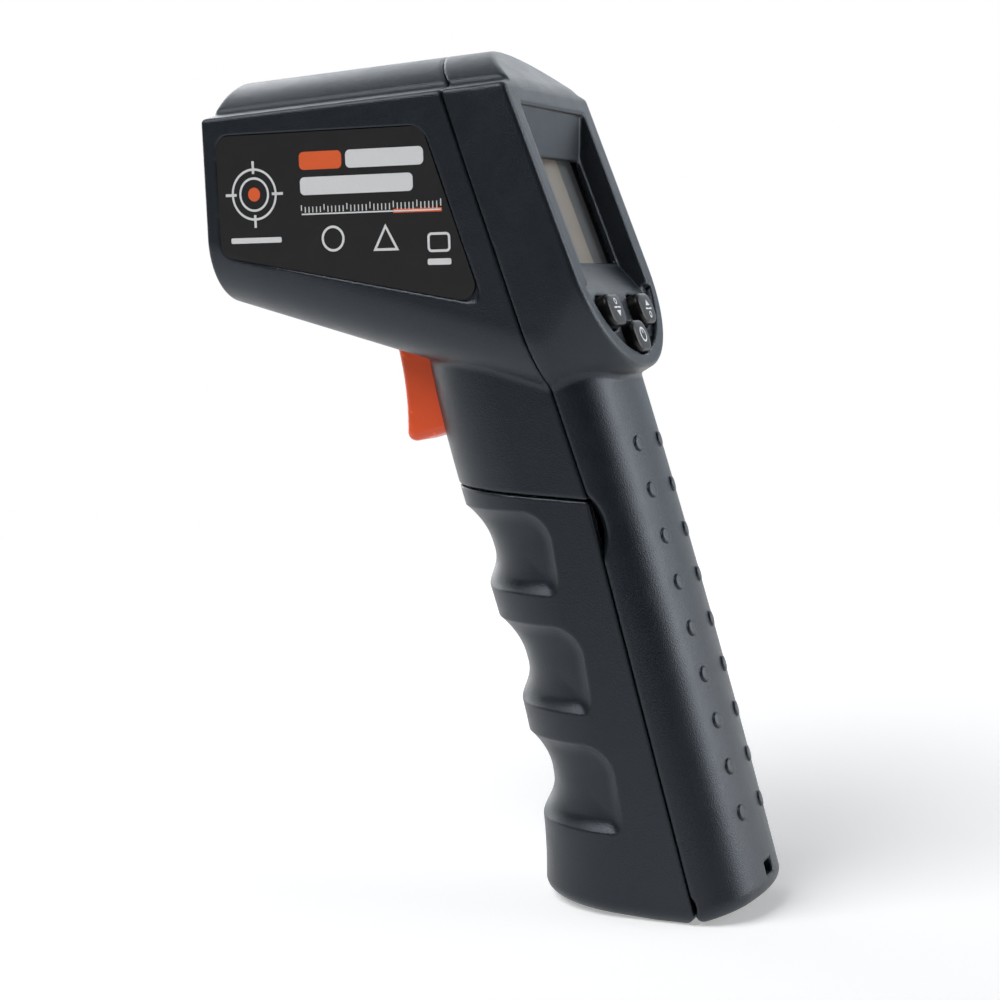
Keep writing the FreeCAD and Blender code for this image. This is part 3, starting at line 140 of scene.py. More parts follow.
class Graph:
    """A material's node tree, built with one method."""

    def __init__(self, tree: bpy.types.NodeTree) -> None:
        """Empties a tree for building.

        Args:
            tree: The node tree to fill.
        """
        self.tree = tree
        tree.nodes.clear()

    def node(self, kind: str, settings: dict[str, Any], sockets: dict[Any, Any],
             output: Any = 0) -> Value:
        """Adds a node.

        Args:
            kind: The node's type name.
            settings: Properties that are set first; "stops" fills a colour ramp.
            sockets: Input names or indices with numbers, colours or Values.
            output: The output socket to return.

        Returns:
            The chosen output, wrapped.
        """
        made = self.tree.nodes.new(kind)
        for name, setting in settings.items():
            if name == "stops":
                self._fill_ramp(made, setting)
            else:
                setattr(made, name, setting)
        for key, given in sockets.items():
            target = made.inputs[key]
            if isinstance(given, Value):
                self.tree.links.new(given.socket, target)
            else:
                target.default_value = given
        return Value(self, made.outputs[output]) if made.outputs else None

    @staticmethod
    def _fill_ramp(made: bpy.types.Node, stops: Sequence[tuple[float, tuple]]) -> None:
        """Sets the stops of a colour ramp.

        Args:
            made: The colour ramp node.
            stops: Positions and colours.
        """
        elements = made.color_ramp.elements
        while len(elements) < len(stops):
            elements.new(0.5)
        for element, (position, colour) in zip(elements, stops):
            element.position = position
            element.color = colour

    def place(self, space: str = "Object") -> Value:
        """The point on the piece, in metres, or another set of coordinates."""
        return self.node("ShaderNodeTexCoord", {}, {}, space)

    def axes(self, space: str = "Object") -> tuple[Value, Value, Value]:
        """The point's x, y and z as three values.

        Args:
            space: The name of the coordinates.

        Returns:
            The three values.
        """
        split = self.tree.nodes.new("ShaderNodeSeparateXYZ")
        self.tree.links.new(self.place(space).socket, split.inputs[0])
        return tuple(Value(self, split.outputs[i]) for i in range(3))

    def noise(self, size_mm: float, detail: float = 2.0, roughness: float = 0.5) -> Value:
        """Fractal noise with features of about size_mm.

        Args:
            size_mm: The size of its features.
            detail: How many finer layers it has.
            roughness: How strong they are.

        Returns:
            The noise, from nought to one.
        """
        sockets = {"Vector": self.place(), "Scale": 1.0 / (size_mm * MM), "Detail": detail,
                   "Roughness": roughness}
        return self.node("ShaderNodeTexNoise", {}, sockets, "Fac")

    def cells(self, size_mm: float) -> Value:
        """Distance to the nearest of scattered points about size_mm apart."""
        sockets = {"Vector": self.place(), "Scale": 1.0 / (size_mm * MM)}
        return self.node("ShaderNodeTexVoronoi", {}, sockets, "Distance")

    def blend(self, share: Any, first: Any, second: Any) -> Value:
        """A colour between two others.

        Args:
            share: How much of the second colour shows.
            first: A colour.
            second: Another colour.

        Returns:
            The blended colour.
        """
        made = self.tree.nodes.new("ShaderNodeMix")
        made.data_type = "RGBA"
        for index, given in ((0, share), (6, first), (7, second)):
            if isinstance(given, Value):
                self.tree.links.new(given.socket, made.inputs[index])
            else:
                made.inputs[index].default_value = given
        return Value(self, made.outputs[2])

    def bump(self, height: Value, depth_mm: float, strength: float = 1.0) -> Value:
        """A normal roughened by a height."""
        sockets = {"Strength": strength, "Distance": depth_mm * MM, "Height": height}
        return self.node("ShaderNodeBump", {}, sockets, "Normal")

    def finish(self, shader: Value) -> None:
        """Ends the tree with a surface shader."""
        self.node("ShaderNodeOutputMaterial", {}, {"Surface": shader})

    def surface(self, sockets: dict[str, Any]) -> None:
        """Ends the tree with one principled shader."""
        self.finish(self.node("ShaderNodeBsdfPrincipled", {}, sockets))


def rgba(colour: Colour, share: float = 1.0) -> tuple[float, float, float, float]:
    """A colour with full alpha, its strength multiplied by share."""
    return (colour[0] * share, colour[1] * share, colour[2] * share, 1.0)


# ------------------------------------------------------------------ finishes
@dataclass(frozen=True)
class Finish:
    """A named material, which each kind of finish fills in its own way."""

    name: str

    def build(self) -> bpy.types.Material:
        """Makes the material.

        Returns:
            The material.
        """
        material = bpy.data.materials.new(self.name)
        material.use_nodes = True
        self.paint(Graph(material.node_tree))
        return material

    def paint(self, graph: Graph) -> None:
        """Fills the material's tree."""
        raise NotImplementedError


@dataclass(frozen=True)
class MouldedPlastic(Finish):
    """Spark-eroded moulded plastic: fine pits, faint flow marks, handling gloss and a painted
    highlight along its edges.
    """

    colour: Colour
    roughness: float = 0.46
    grain_mm: float = 0.28
    grain_depth_mm: float = 0.012
    variation: float = 0.16
    coat: float = 0.0
    sheen: Colour = (0.80, 0.88, 1.0)

    def paint(self, graph: Graph) -> None:
        """Fills the material's tree.

        Args:
            graph: The material's tree.
        """
        pits = graph.cells(self.grain_mm)
        fine = graph.noise(self.grain_mm * 0.5, 2.0)
        wide = graph.noise(14.0, 3.0)
        smudge = graph.noise(5.0, 4.0, 0.6)
        edge = graph.node("ShaderNodeNewGeometry", {}, {}, "Pointiness").ramp(0.53, 0.62)
        tone = graph.blend(wide, rgba(self.colour, 1 - self.variation),
                           rgba(self.colour, 1 + self.variation))
        # The edges found by pointiness are lightened: this is a painted highlight along the edges.
        wear_and_edge_highlight = graph.blend(edge * 0.35, tone, rgba(self.colour, 2.2))
        rough = self.roughness + (smudge - 0.5) * 0.16 + (fine - 0.5) * 0.10
        normal = graph.bump(pits * 0.7 + fine * 0.6, self.grain_depth_mm)
        graph.surface({
            "Base Color": wear_and_edge_highlight, "Roughness": rough, "Normal": normal,
            "Specular IOR Level": 0.60, "Specular Tint": rgba(self.sheen),
            "Coat Weight": self.coat, "Coat Roughness": 0.3})


@dataclass(frozen=True)
class SoftRubber(Finish):
    """Silicone rubber: smooth, slightly glossy, with a skin of fine dust."""

    colour: Colour
    roughness: float = 0.32

    def paint(self, graph: Graph) -> None:
        """Fills the material's tree.

        Args:
            graph: The material's tree.
        """
        dust = graph.noise(0.7, 5.0, 0.7)
        fine = graph.noise(0.12, 2.0)
        tone = graph.blend(dust.ramp(0.55, 0.8) * 0.35, rgba(self.colour), rgba(self.colour, 2.6))
        rough = self.roughness + dust * 0.18
        graph.surface({
            "Base Color": tone, "Roughness": rough, "Normal": graph.bump(fine, 0.004),
            "Specular IOR Level": 0.42})


@dataclass(frozen=True)
class LabelFilm(Finish):
    """Black polyester film with a fine matte emboss and faint rubs."""

    colour: Colour = (0.0075, 0.0075, 0.0085)

    def paint(self, graph: Graph) -> None:
        """Fills the material's tree.

        Args:
            graph: The material's tree.
        """
        emboss = graph.noise(0.16, 2.0)
        rubs = graph.noise(4.0, 6.0, 0.65)
        tone = graph.blend(rubs, rgba(self.colour, 0.85), rgba(self.colour, 1.25))
        graph.surface({
            "Base Color": tone, "Roughness": 0.38 + rubs * 0.14,
            "Normal": graph.bump(emboss, 0.004), "Specular IOR Level": 0.45})


@dataclass(frozen=True)
class Ink(Finish):
    """Screen-printed ink, slightly uneven."""

    colour: Colour
    roughness: float = 0.5

    def paint(self, graph: Graph) -> None:
        """Fills the material's tree.

        Args:
            graph: The material's tree.
        """
        mottle = graph.noise(0.25, 3.0, 0.6)
        tone = graph.blend(mottle, rgba(self.colour, 0.86), rgba(self.colour))
        graph.surface({
            "Base Color": tone, "Roughness": self.roughness + mottle * 0.1,
            "Normal": graph.bump(mottle, 0.004)})


@dataclass(frozen=True)
class TurnedMetal(Finish):
    """Drawn or turned metal with fine lines along one axis."""

    colour: Colour
    roughness: float = 0.3
    line_mm: float = 0.08

    def paint(self, graph: Graph) -> None:
        """Fills the material's tree.

        Args:
            graph: The material's tree.
        """
        lines = graph.noise(self.line_mm, 2.0)
        stain = graph.noise(1.6, 4.0, 0.6)
        tone = graph.blend(stain, rgba(self.colour, 0.78), rgba(self.colour))
        graph.surface({
            "Base Color": tone, "Metallic": 1.0, "Roughness": self.roughness + stain * 0.16,
            "Normal": graph.bump(lines, 0.003)})


@dataclass(frozen=True)
class CircuitBoard(Finish):
    """Solder mask over copper tracks and glass cloth."""

    mask: Colour = (0.006, 0.075, 0.028)
    track: Colour = (0.02, 0.17, 0.055)
    pad: Colour = (0.55, 0.46, 0.30)

    def paint(self, graph: Graph) -> None:
        """Fills the material's tree.

        Args:
            graph: The material's tree.
        """
        across, along, up = graph.axes()
        rows = ((up + across * 0.35) * (2 * math.pi / (1.5 * MM))).wave()
        columns = (along * (2 * math.pi / (1.9 * MM))).wave()
        zone = graph.noise(4.0, 1.0)
        lines = (rows > 0.62) * (zone > 0.5) + (columns > 0.62) * (zone < 0.5)
        pads = graph.cells(1.7) < 0.16
        weave = graph.noise(0.3, 2.0)
        copper = graph.blend(lines, rgba(self.mask), rgba(self.track))
        tone = graph.blend(pads * 0.9, copper, rgba(self.pad))
        graph.surface({
            "Base Color": tone, "Roughness": 0.3 + weave * 0.15,
            "Normal": graph.bump(lines + weave * 0.3, 0.02)})


@dataclass(frozen=True)
class DisplayCell(Finish):
    """A liquid crystal cell that is switched off: silvery ground, darker bands across it and a
    faint painted glow.
    """

    low: Vector
    high: Vector
    ground: Colour = (0.31, 0.255, 0.22)
    band_tone: Colour = (0.115, 0.112, 0.118)

    def paint(self, graph: Graph) -> None:
        """Fills the material's tree.

        Args:
            graph: The material's tree.
        """
        _, y, z = graph.axes()
        sparkle = graph.noise(0.18, 2.0)
        cloud = graph.noise(9.0, 2.0)
        half = (self.high.y - self.low.y) / 2
        # Darker bands towards both sides and a narrow darker strip just past the middle line, laid
        # to match the tones seen through the window.
        rim = y.ramp(half * 0.52, half * 0.56) + (0 - y).ramp(half * 0.84, half * 0.9)
        rim = rim + (y > 0) * 0.3 - y.ramp(half * 0.14, half * 0.16) * 0.3
        dots = (z * (2 * math.pi / (0.5 * MM))).wave() * 0.5 + 0.5
        ground = graph.blend(cloud, rgba(self.ground, 0.86), rgba(self.ground, 1.1))
        tone = graph.blend(rim.ramp(0.0, 1.0), ground, rgba(self.band_tone))
        # The switched-off cell is no lamp: its faint emission is painted light that brightens it
        # inside the shaded recess.
        graph.surface({
            "Base Color": tone, "Roughness": 0.34 + sparkle * 0.2,
            "Normal": graph.bump(dots * 0.2 + sparkle * 0.3, 0.001), "Specular IOR Level": 0.7,
            "Emission Color": tone, "Emission Strength": 0.18})


@dataclass(frozen=True)
class ClearSheet(Finish):
    """Clear acrylic: see-through, with a mirror-like skin and faint scratches."""

    tint: Colour = (0.93, 0.95, 0.95)

    def paint(self, graph: Graph) -> None:
        """Fills the material's tree.

        Args:
            graph: The material's tree.
        """
        haze = graph.noise(3.0, 5.0, 0.7)
        clear = graph.node("ShaderNodeBsdfTransparent", {}, {"Color": rgba(self.tint)})
        gloss = graph.node("ShaderNodeBsdfPrincipled", {}, {
            "Base Color": rgba((0.02, 0.02, 0.022)), "Roughness": 0.04 + haze * 0.08})
        skin = graph.node("ShaderNodeFresnel", {}, {"IOR": 1.46})
        inside = graph.node("ShaderNodeNewGeometry", {}, {}, "Backfacing")
        share = (skin * 0.9 + haze.ramp(0.55, 0.8) * 0.03) * (1 - inside)
        graph.finish(graph.node("ShaderNodeMixShader", {}, {0: share, 1: clear, 2: gloss}))


@dataclass(frozen=True)
class CoatedOptic(Finish):
    """A dark germanium or silicon optic with a coloured coating."""

    colour: Colour = (0.10, 0.09, 0.12)
    edge: Colour = (0.20, 0.12, 0.30)
    height: float = 127.5 * MM
    radius: float = 5.4 * MM

    def paint(self, graph: Graph) -> None:
        """Fills the material's tree.

        Args:
            graph: The material's tree.
        """
        film = graph.noise(2.2, 2.0)
        _, y, z = graph.axes()
        ring = (y * y + (z - self.height) * (z - self.height)).ramp(0.0, self.radius**2)
        tone = graph.blend(ring, rgba(self.colour), rgba(self.edge))
        graph.surface({
            "Base Color": tone, "Metallic": 0.85, "Roughness": 0.06 + film * 0.08})


@dataclass(frozen=True)
class BatteryJacket(Finish):
    """A printed steel jacket in two plain colours with a worn seam."""

    split: float
    low: Colour = (0.018, 0.020, 0.024)
    high: Colour = (0.46, 0.20, 0.055)
    bare: Colour = (0.4, 0.4, 0.4)

    def paint(self, graph: Graph) -> None:
        """Fills the material's tree.

        Args:
            graph: The material's tree.
        """
        x, _, z = graph.axes()
        rubs = graph.noise(1.8, 5.0, 0.7)
        upper = (z + x * 0.28) > self.split
        tone = graph.blend(upper, rgba(self.low), rgba(self.high))
        wear_and_edge_highlight = graph.blend(rubs.ramp(0.6, 0.75) * 0.3, tone, rgba(self.bare))
        graph.surface({
            "Base Color": wear_and_edge_highlight, "Roughness": 0.24 + rubs * 0.2, "Metallic": 0.35,
            "Normal": graph.bump(rubs, 0.01)})


@dataclass(frozen=True)
class StudioFloor(Finish):
    """A pale matte floor."""

    colour: Colour = (0.86, 0.865, 0.87)

    def paint(self, graph: Graph) -> None:
        """Fills the material's tree.

        Args:
            graph: The material's tree.
        """
        x, y, _ = graph.axes()
        grain = graph.noise(2.0, 3.0)
        tone = graph.blend(grain, rgba(self.colour, 0.99), rgba(self.colour))
        near = graph.node("ShaderNodeBsdfPrincipled", {}, {
            "Base Color": tone, "Roughness": 0.5 + grain * 0.05,
            "Emission Color": tone, "Emission Strength": 0.42})
        far = graph.node("ShaderNodeEmission", {}, {"Color": rgba(WHITE)})
        share = (x * x + y * y).ramp(0.02, 0.42)
        graph.finish(graph.node("ShaderNodeMixShader", {}, {0: share, 1: near, 2: far}))


# ------------------------------------------------------------------ piece helpers
def add_object(name: str, data: bpy.types.ID) -> bpy.types.Object:
    """Puts a new object with this data in the scene.

    Args:
        name: The name of the object.
        data: Its mesh, light or camera.

    Returns:
        The new object.
    """
    made = bpy.data.objects.new(name, data)
    bpy.context.scene.collection.objects.link(made)
    return made


def mesh_piece(name: str, points: Iterable, faces: Iterable, material: bpy.types.Material,
               smooth: bool = True) -> bpy.types.Object:
    """Makes an object at the origin from points in millimetres.

    Args:
        name: The piece's name.
        points: Corner points, in millimetres.
        faces: Lists of corner indices.
        material: The finish.
        smooth: Whether its faces are shaded smooth.

    Returns:
        The new object.
    """
    mesh = bpy.data.meshes.new(name)
    scaled = (np.asarray(points, float) * MM).tolist()
    mesh.from_pydata(scaled, [], [list(map(int, face)) for face in faces])
    mesh.materials.append(material)
    mesh.polygons.foreach_set("use_smooth", [smooth] * len(mesh.polygons))
    mesh.update()
    return add_object(name, mesh)


def recalculate(piece: bpy.types.Object) -> None:
    """Makes a closed piece's faces point outwards.

    Args:
        piece: The piece, which keeps its shape.
    """
    work = bmesh.new()
    work.from_mesh(piece.data)
    bmesh.ops.recalc_face_normals(work, faces=work.faces)
    work.to_mesh(piece.data)
    work.free()


def ring_faces(rows: int, count: int, start: int = 0) -> list[tuple[int, ...]]:
    """Lists the quads between rings of points.

    Args:
        rows: How many rings there are.
        count: How many points each has.
        start: The index of the first ring's first point.

    Returns:
        The quads.
    """
    faces = []
    for low in range(start, start + (rows - 1) * count, count):
        for k in range(count):
            after = (k + 1) % count
            faces.append((low + k, low + after, low + count + after, low + count + k))
    return faces


def end_faces(rows: int, count: int) -> list[tuple[int, ...]]:
    """The faces that close the first and the last of the rings."""
    return [tuple(reversed(range(count))), tuple(range((rows - 1) * count, rows * count))]


def dress_node(node: str, material: bpy.types.Material) -> None:
    """Gives a CAD node's object one finish.

    Args:
        node: The node's name.
        material: The finish.
    """
    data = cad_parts[node].data
    data.materials.clear()
    data.materials.append(material)


def fasten(piece: bpy.types.Object, body: str, slot: str, *nodes: str) -> None:
    """Rides a piece on a body and hides the CAD nodes that it stands for.

    Args:
        piece: A finished piece.
        body: The body that it moves with.
        slot: Not used.
        nodes: CAD nodes that it replaces.
    """
    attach(piece, body)
    if nodes:
        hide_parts(*nodes)
    LOG.info("%s on %s: %d faces", piece.name, body, len(piece.data.polygons))


class Stamper:
    """A Geometry Nodes tree that sets copies of a prototype on points, facing outwards."""

    def __init__(self) -> None:
        """Builds the tree once."""
        tree = bpy.data.node_groups.new("stamp_on_points", "GeometryNodeTree")
        face = tree.interface
        face.new_socket("Geometry", in_out="INPUT", socket_type="NodeSocketGeometry")
        self.prototype = face.new_socket("Prototype", in_out="INPUT",
                                         socket_type="NodeSocketObject")
        self.scale = face.new_socket("Scale", in_out="INPUT", socket_type="NodeSocketFloat")
        self.finish = face.new_socket("Finish", in_out="INPUT", socket_type="NodeSocketMaterial")
        face.new_socket("Geometry", in_out="OUTPUT", socket_type="NodeSocketGeometry")
        add = tree.nodes.new
        link = tree.links.new
        given = add("NodeGroupInput")
        info = add("GeometryNodeObjectInfo")
        dots = add("GeometryNodeMeshToPoints")
        facing = add("GeometryNodeInputNamedAttribute")
        facing.data_type = "FLOAT_VECTOR"
        facing.inputs["Name"].default_value = "facing"
        turn = add("FunctionNodeAlignRotationToVector")
        turn.axis = "Z"
        spread = add("GeometryNodeInstanceOnPoints")
        real = add("GeometryNodeRealizeInstances")
        paint = add("GeometryNodeSetMaterial")
        out = add("NodeGroupOutput")
        link(given.outputs["Geometry"], dots.inputs["Mesh"])
        link(given.outputs["Prototype"], info.inputs["Object"])
        link(facing.outputs["Attribute"], turn.inputs["Vector"])
        link(dots.outputs["Points"], spread.inputs["Points"])
        link(info.outputs["Geometry"], spread.inputs["Instance"])
        link(turn.outputs["Rotation"], spread.inputs["Rotation"])
        link(given.outputs["Scale"], spread.inputs["Scale"])
        link(spread.outputs["Instances"], real.inputs["Geometry"])
        link(real.outputs["Geometry"], paint.inputs["Geometry"])
        link(given.outputs["Finish"], paint.inputs["Material"])
        link(paint.outputs["Geometry"], out.inputs["Geometry"])
        self.tree = tree

    def stamp(self, name: str, prototype: bpy.types.Object, points: Sequence[Point],
              facings: Sequence[Point], material: bpy.types.Material) -> bpy.types.Object:
        """Makes one mesh of copies.

        Args:
            name: The piece's name.
            prototype: The object to copy; it is removed afterwards.
            points: Where the copies go, in millimetres.
            facings: The way each copy's own z axis points.
            material: The finish.

        Returns:
            A plain mesh object at the origin.
        """
        carrier = mesh_piece(name + "_points", points, [], material)
        attribute = carrier.data.attributes.new("facing", "FLOAT_VECTOR", "POINT")
        attribute.data.foreach_set("vector", np.asarray(facings, float).ravel())
        modifier = carrier.modifiers.new("stamp", "NODES")
        modifier.node_group = self.tree
        modifier[self.prototype.identifier] = prototype
        modifier[self.scale.identifier] = 1.0
        modifier[self.finish.identifier] = material
        bpy.context.view_layer.update()
        view = carrier.evaluated_get(bpy.context.evaluated_depsgraph_get())
        mesh = bpy.data.meshes.new_from_object(view)
        mesh.name = name
        made = add_object(name, mesh)
        carrier.modifiers.clear()
        for spare in (carrier, prototype):
            bpy.data.objects.remove(spare, do_unlink=True)
        return made


def lathe(name: str, profile: Sequence[tuple[float, float]], sides: int,
          material: bpy.types.Material) -> bpy.types.Object:
    """Turns a radius-height profile into a closed solid round its own z axis.

    Args:
        name: The piece's name.
        profile: Radii and heights from the bottom centre to the top centre, in millimetres.
        sides: How many facets go round.
        material: The finish.

    Returns:
        The new object.
    """
    rings = profile[1:-1]
    points = [(0.0, 0.0, profile[0][1])]
    for radius, height in rings:
        for k in range(sides):
            angle = 2 * math.pi * k / sides
            points.append((radius * math.cos(angle), radius * math.sin(angle), height))
    points.append((0.0, 0.0, profile[-1][1]))
    last, top = len(points) - 1, 1 + (len(rings) - 1) * sides
    faces = ring_faces(len(rings), sides, 1)
    for k in range(sides):
        after = (k + 1) % sides
        faces += [(0, 1 + after, 1 + k), (top + k, top + after, last)]
    return mesh_piece(name, points, faces, material)


# ------------------------------------------------------------------ signed distances, in mm
def round_and(first: Array, second: Array, radius: float | Array) -> Array:
    """The overlap of two solids, its outer edge rounded to radius."""
    outside = np.hypot(np.maximum(first + radius, 0), np.maximum(second + radius, 0))
    return np.minimum(np.maximum(first, second), -radius) + outside


def round_or(first: Array, second: Array, radius: float | Array) -> Array:
    """The union of two solids, its inner corner filled to radius."""
    return -round_and(-first, -second, radius)


def less(solid: Array, tool: Array, radius: float = 0.2) -> Array:
    """A solid with a tool cut away, the new edge rounded to radius."""
    return round_and(solid, -tool, radius)


def around(x: Array, z: Array, centre: tuple[float, float]) -> Array:
    """Distance from a line that runs across the object."""
    return np.hypot(x - centre[0], z - centre[1])


def block(x: Array, y: Array, z: Array, centre: Point, half: Point, radius: float = 0.0) -> Array:
    """A box with rounded edges.

    Args:
        x: Places along x, in millimetres.
        y: Places along y.
        z: Heights.
        centre: The middle of the box.
        half: Half its sizes.
        radius: The rounding of the edges.

    Returns:
        Signed distances.
    """
    reach = [np.abs(v - c) - h + radius for v, c, h in zip((x, y, z), centre, half)]
    outside = np.sqrt(sum(np.maximum(r, 0)**2 for r in reach))
    return outside + np.minimum(np.maximum(np.maximum(reach[0], reach[1]), reach[2]), 0) - radius


@dataclass
class Body:
    """The outside of the thermometer: barrel, hood with the display face, and handle."""

    nose: float = -80.0
    top_slope: float = 0.055
    belly_slope: float = 0.281
    shoulder: float = 143.9
    shoulder_half: float = 21.1
    belly: float = 110.8
    belly_half: float = 20.15
    belly_radius: float = 11.0
    ledge_rise: float = 1.2
    crown_half: float = 16.0
    crown_step: float = 0.6
    crown_radius: float = 22.8
    face_point: tuple[float, float] = (-19.0, 145.6)
    face_slope: float = 0.3815
    face_half: float = 19.9
    face_round: float = 31.25
    facet_start: float = 148.2
    facet_slope: float = 1.25
    grip_half: float = 15.5
    grip_depth: float = 18.6
    grip_rear: float = 22.8
    grip_lean: float = 0.284
    grip_crown: float = 32.0
    grip_corner: float = 9.5
    grip_top: float = 106.0
    grip_bow: float = 0.75
    soft: float = 0.7
    rim_radius: float = 0.9
    hood_flare: float = 0.1
    hood_depth: float = 14.0
    front_line: tuple = ((0.0, -21.6), (35.0, -25.2), (76.0, -37.3), (105.0, -43.9))
    seam_line: tuple = ((-31.3, 146.0, 0.34), (-31.98, 148.0, 0.9), (-7.09, 74.8, 0.2588))
    door_point: tuple[float, float] = (-7.09, 74.8)
    door_slope: float = 0.0594

    def along(self, x: Array) -> Array:
        """How far behind the nose a point is."""
        return x - self.nose

    def shoulder_at(self, x: Array) -> Array:
        """The height of the shoulder edge."""
        return self.shoulder + self.top_slope * self.along(x)

    def flank(self, x: Array, z: Array) -> Array:
        """Half the width of the barrel's drafted side wall.

        Args:
            x: Places along x, in millimetres.
            z: Heights.

        Returns:
            Half widths.
        """
        corner = self.belly - self.belly_slope * self.along(x) + self.belly_radius
        share = (z - corner) / (self.shoulder_at(x) - corner)
        return self.belly_half + (self.shoulder_half - self.belly_half) * share

    def barrel(self, x: Array, a: Array, z: Array) -> Array:
        """The barrel, run on behind the display.

        Args:
            x: Places along x, in millimetres.
            a: Distances from the middle plane, all positive.
            z: Heights.

        Returns:
            Signed distances.
        """
        shoulder = self.shoulder_at(x)
        under = self.belly - self.belly_slope * self.along(x) - z
        under = under / math.hypot(1.0, self.belly_slope)
        wall = round_and(a - self.flank(x, z), under, self.belly_radius)
        rise = self.ledge_rise / (self.shoulder_half - self.crown_half)
        ledge = (z - shoulder - (self.shoulder_half - a) * rise) / math.hypot(1.0, rise)
        drop = math.sqrt(self.crown_radius**2 - self.crown_half**2)
        centre = shoulder + self.ledge_rise + self.crown_step - drop
        arch = round_and(np.hypot(a, z - centre) - self.crown_radius, a - self.crown_half,
                         self.soft)
        return round_and(wall, round_or(ledge, arch, self.soft), self.soft)

    def in_face(self, x: Array, z: Array) -> tuple[Array, Array]:
        """Distance down the display face, and out of it.

        Args:
            x: Places along x, in millimetres.
            z: Heights.

        Returns:
            Both distances.
        """
        size = math.hypot(1.0, self.face_slope)
        dx, dz = x - self.face_point[0], z - self.face_point[1]
        return (dx * self.face_slope - dz) / size, (dx + dz * self.face_slope) / size

    def hooded(self, x: Array, a: Array, z: Array) -> Array:
        """The barrel narrowed to the rounded rim of the display face.

        Args:
            x: Places along x, in millimetres.
            a: Distances from the middle plane, all positive.
            z: Heights.

        Returns:
            Signed distances.
        """
        s, n = self.in_face(x, z)
        deep = np.clip(-n, 0.0, self.hood_depth)
        half = self.face_half + self.hood_flare * deep
        radius = self.face_half - 1.0 - 0.45 * deep
        low = self.face_round + self.face_half + 0.09 * deep
        hood = round_and(a - half, s - low, radius)
        start = self.face_point[0] - self.face_slope * (self.facet_start - self.face_point[1])
        facet = x + self.facet_slope * (z - self.facet_start) - start
        front = round_and(n, facet / math.hypot(1.0, self.facet_slope), 0.8)
        rim = round_and(hood, front, self.rim_radius)
        return round_and(self.barrel(x, a, z), rim, self.soft)

    def front_x(self, z: Array) -> Array:
        """The line of the front of the handle, a cubic through four stations.

        Args:
            z: Heights.

        Returns:
            Places along x.
        """
        total = 0.0
        for i, (zi, xi) in enumerate(self.front_line):
            term = xi
            for j, (zj, _) in enumerate(self.front_line):
                if j != i:
                    term = term * (z - zj) / (zi - zj)
            total = total + term
        return total

    def rear_line(self, z: Array) -> Array:
        """The line of the rear of the handle, very slightly bowed."""
        share = z / self.grip_top
        return self.grip_rear - self.grip_lean * z + 4.0 * self.grip_bow * share * (1.0 - share)

    def grip(self, x: Array, a: Array, z: Array, inset: float = 0.0, front: float = 0.0) -> Array:
        """The handle without its finger grooves.

        Args:
            x: Places along x.
            a: Places along y, all positive.
            z: Heights.
            inset: How far the sides and the rear are moved inwards.
            front: How far the front is moved inwards.

        Returns:
            Signed distances.
        """
        half = self.grip_half - inset
        middle = self.front_x(z) + self.grip_depth
        depth = self.grip_depth - front
        px, py = (middle - x) / depth, a / half
        k0 = np.hypot(px, py)
        k1 = np.hypot(px / depth, py / half) + 1e-6
        oval = k0 * (k0 - 1.0) / k1
        centre = self.rear_line(z) - self.grip_crown
        corner = self.grip_corner - inset
        shift = math.sqrt((self.grip_crown - inset - corner)**2 - (half - corner)**2)
        rear = np.hypot(x - centre, a) - self.grip_crown + inset
        bend = np.hypot(x - centre - shift, a - half + corner) - corner
        behind = np.where(a * shift < (x - centre) * (half - corner), rear, bend)
        back = np.where(x < centre + shift, a - half, behind)
        return np.maximum(np.where(x < middle, oval, back), z - self.grip_top)

    def seam(self, x: Array, z: Array) -> Array:
        """Distance ahead of the joint between the shells; negative behind it."""
        sides = [(x0 + k * (z0 - z) - x) / math.hypot(1.0, k) for x0, z0, k in self.seam_line]
        return np.minimum(np.minimum(sides[0], sides[1]), sides[2])

    def over_door(self, x: Array, z: Array) -> Array:
        """Distance below the joint over the battery door; negative above it."""
        line = self.door_point[1] - self.door_slope * (x - self.door_point[0])
        return (line - z) / math.hypot(1.0, self.door_slope)


BODY = Body()


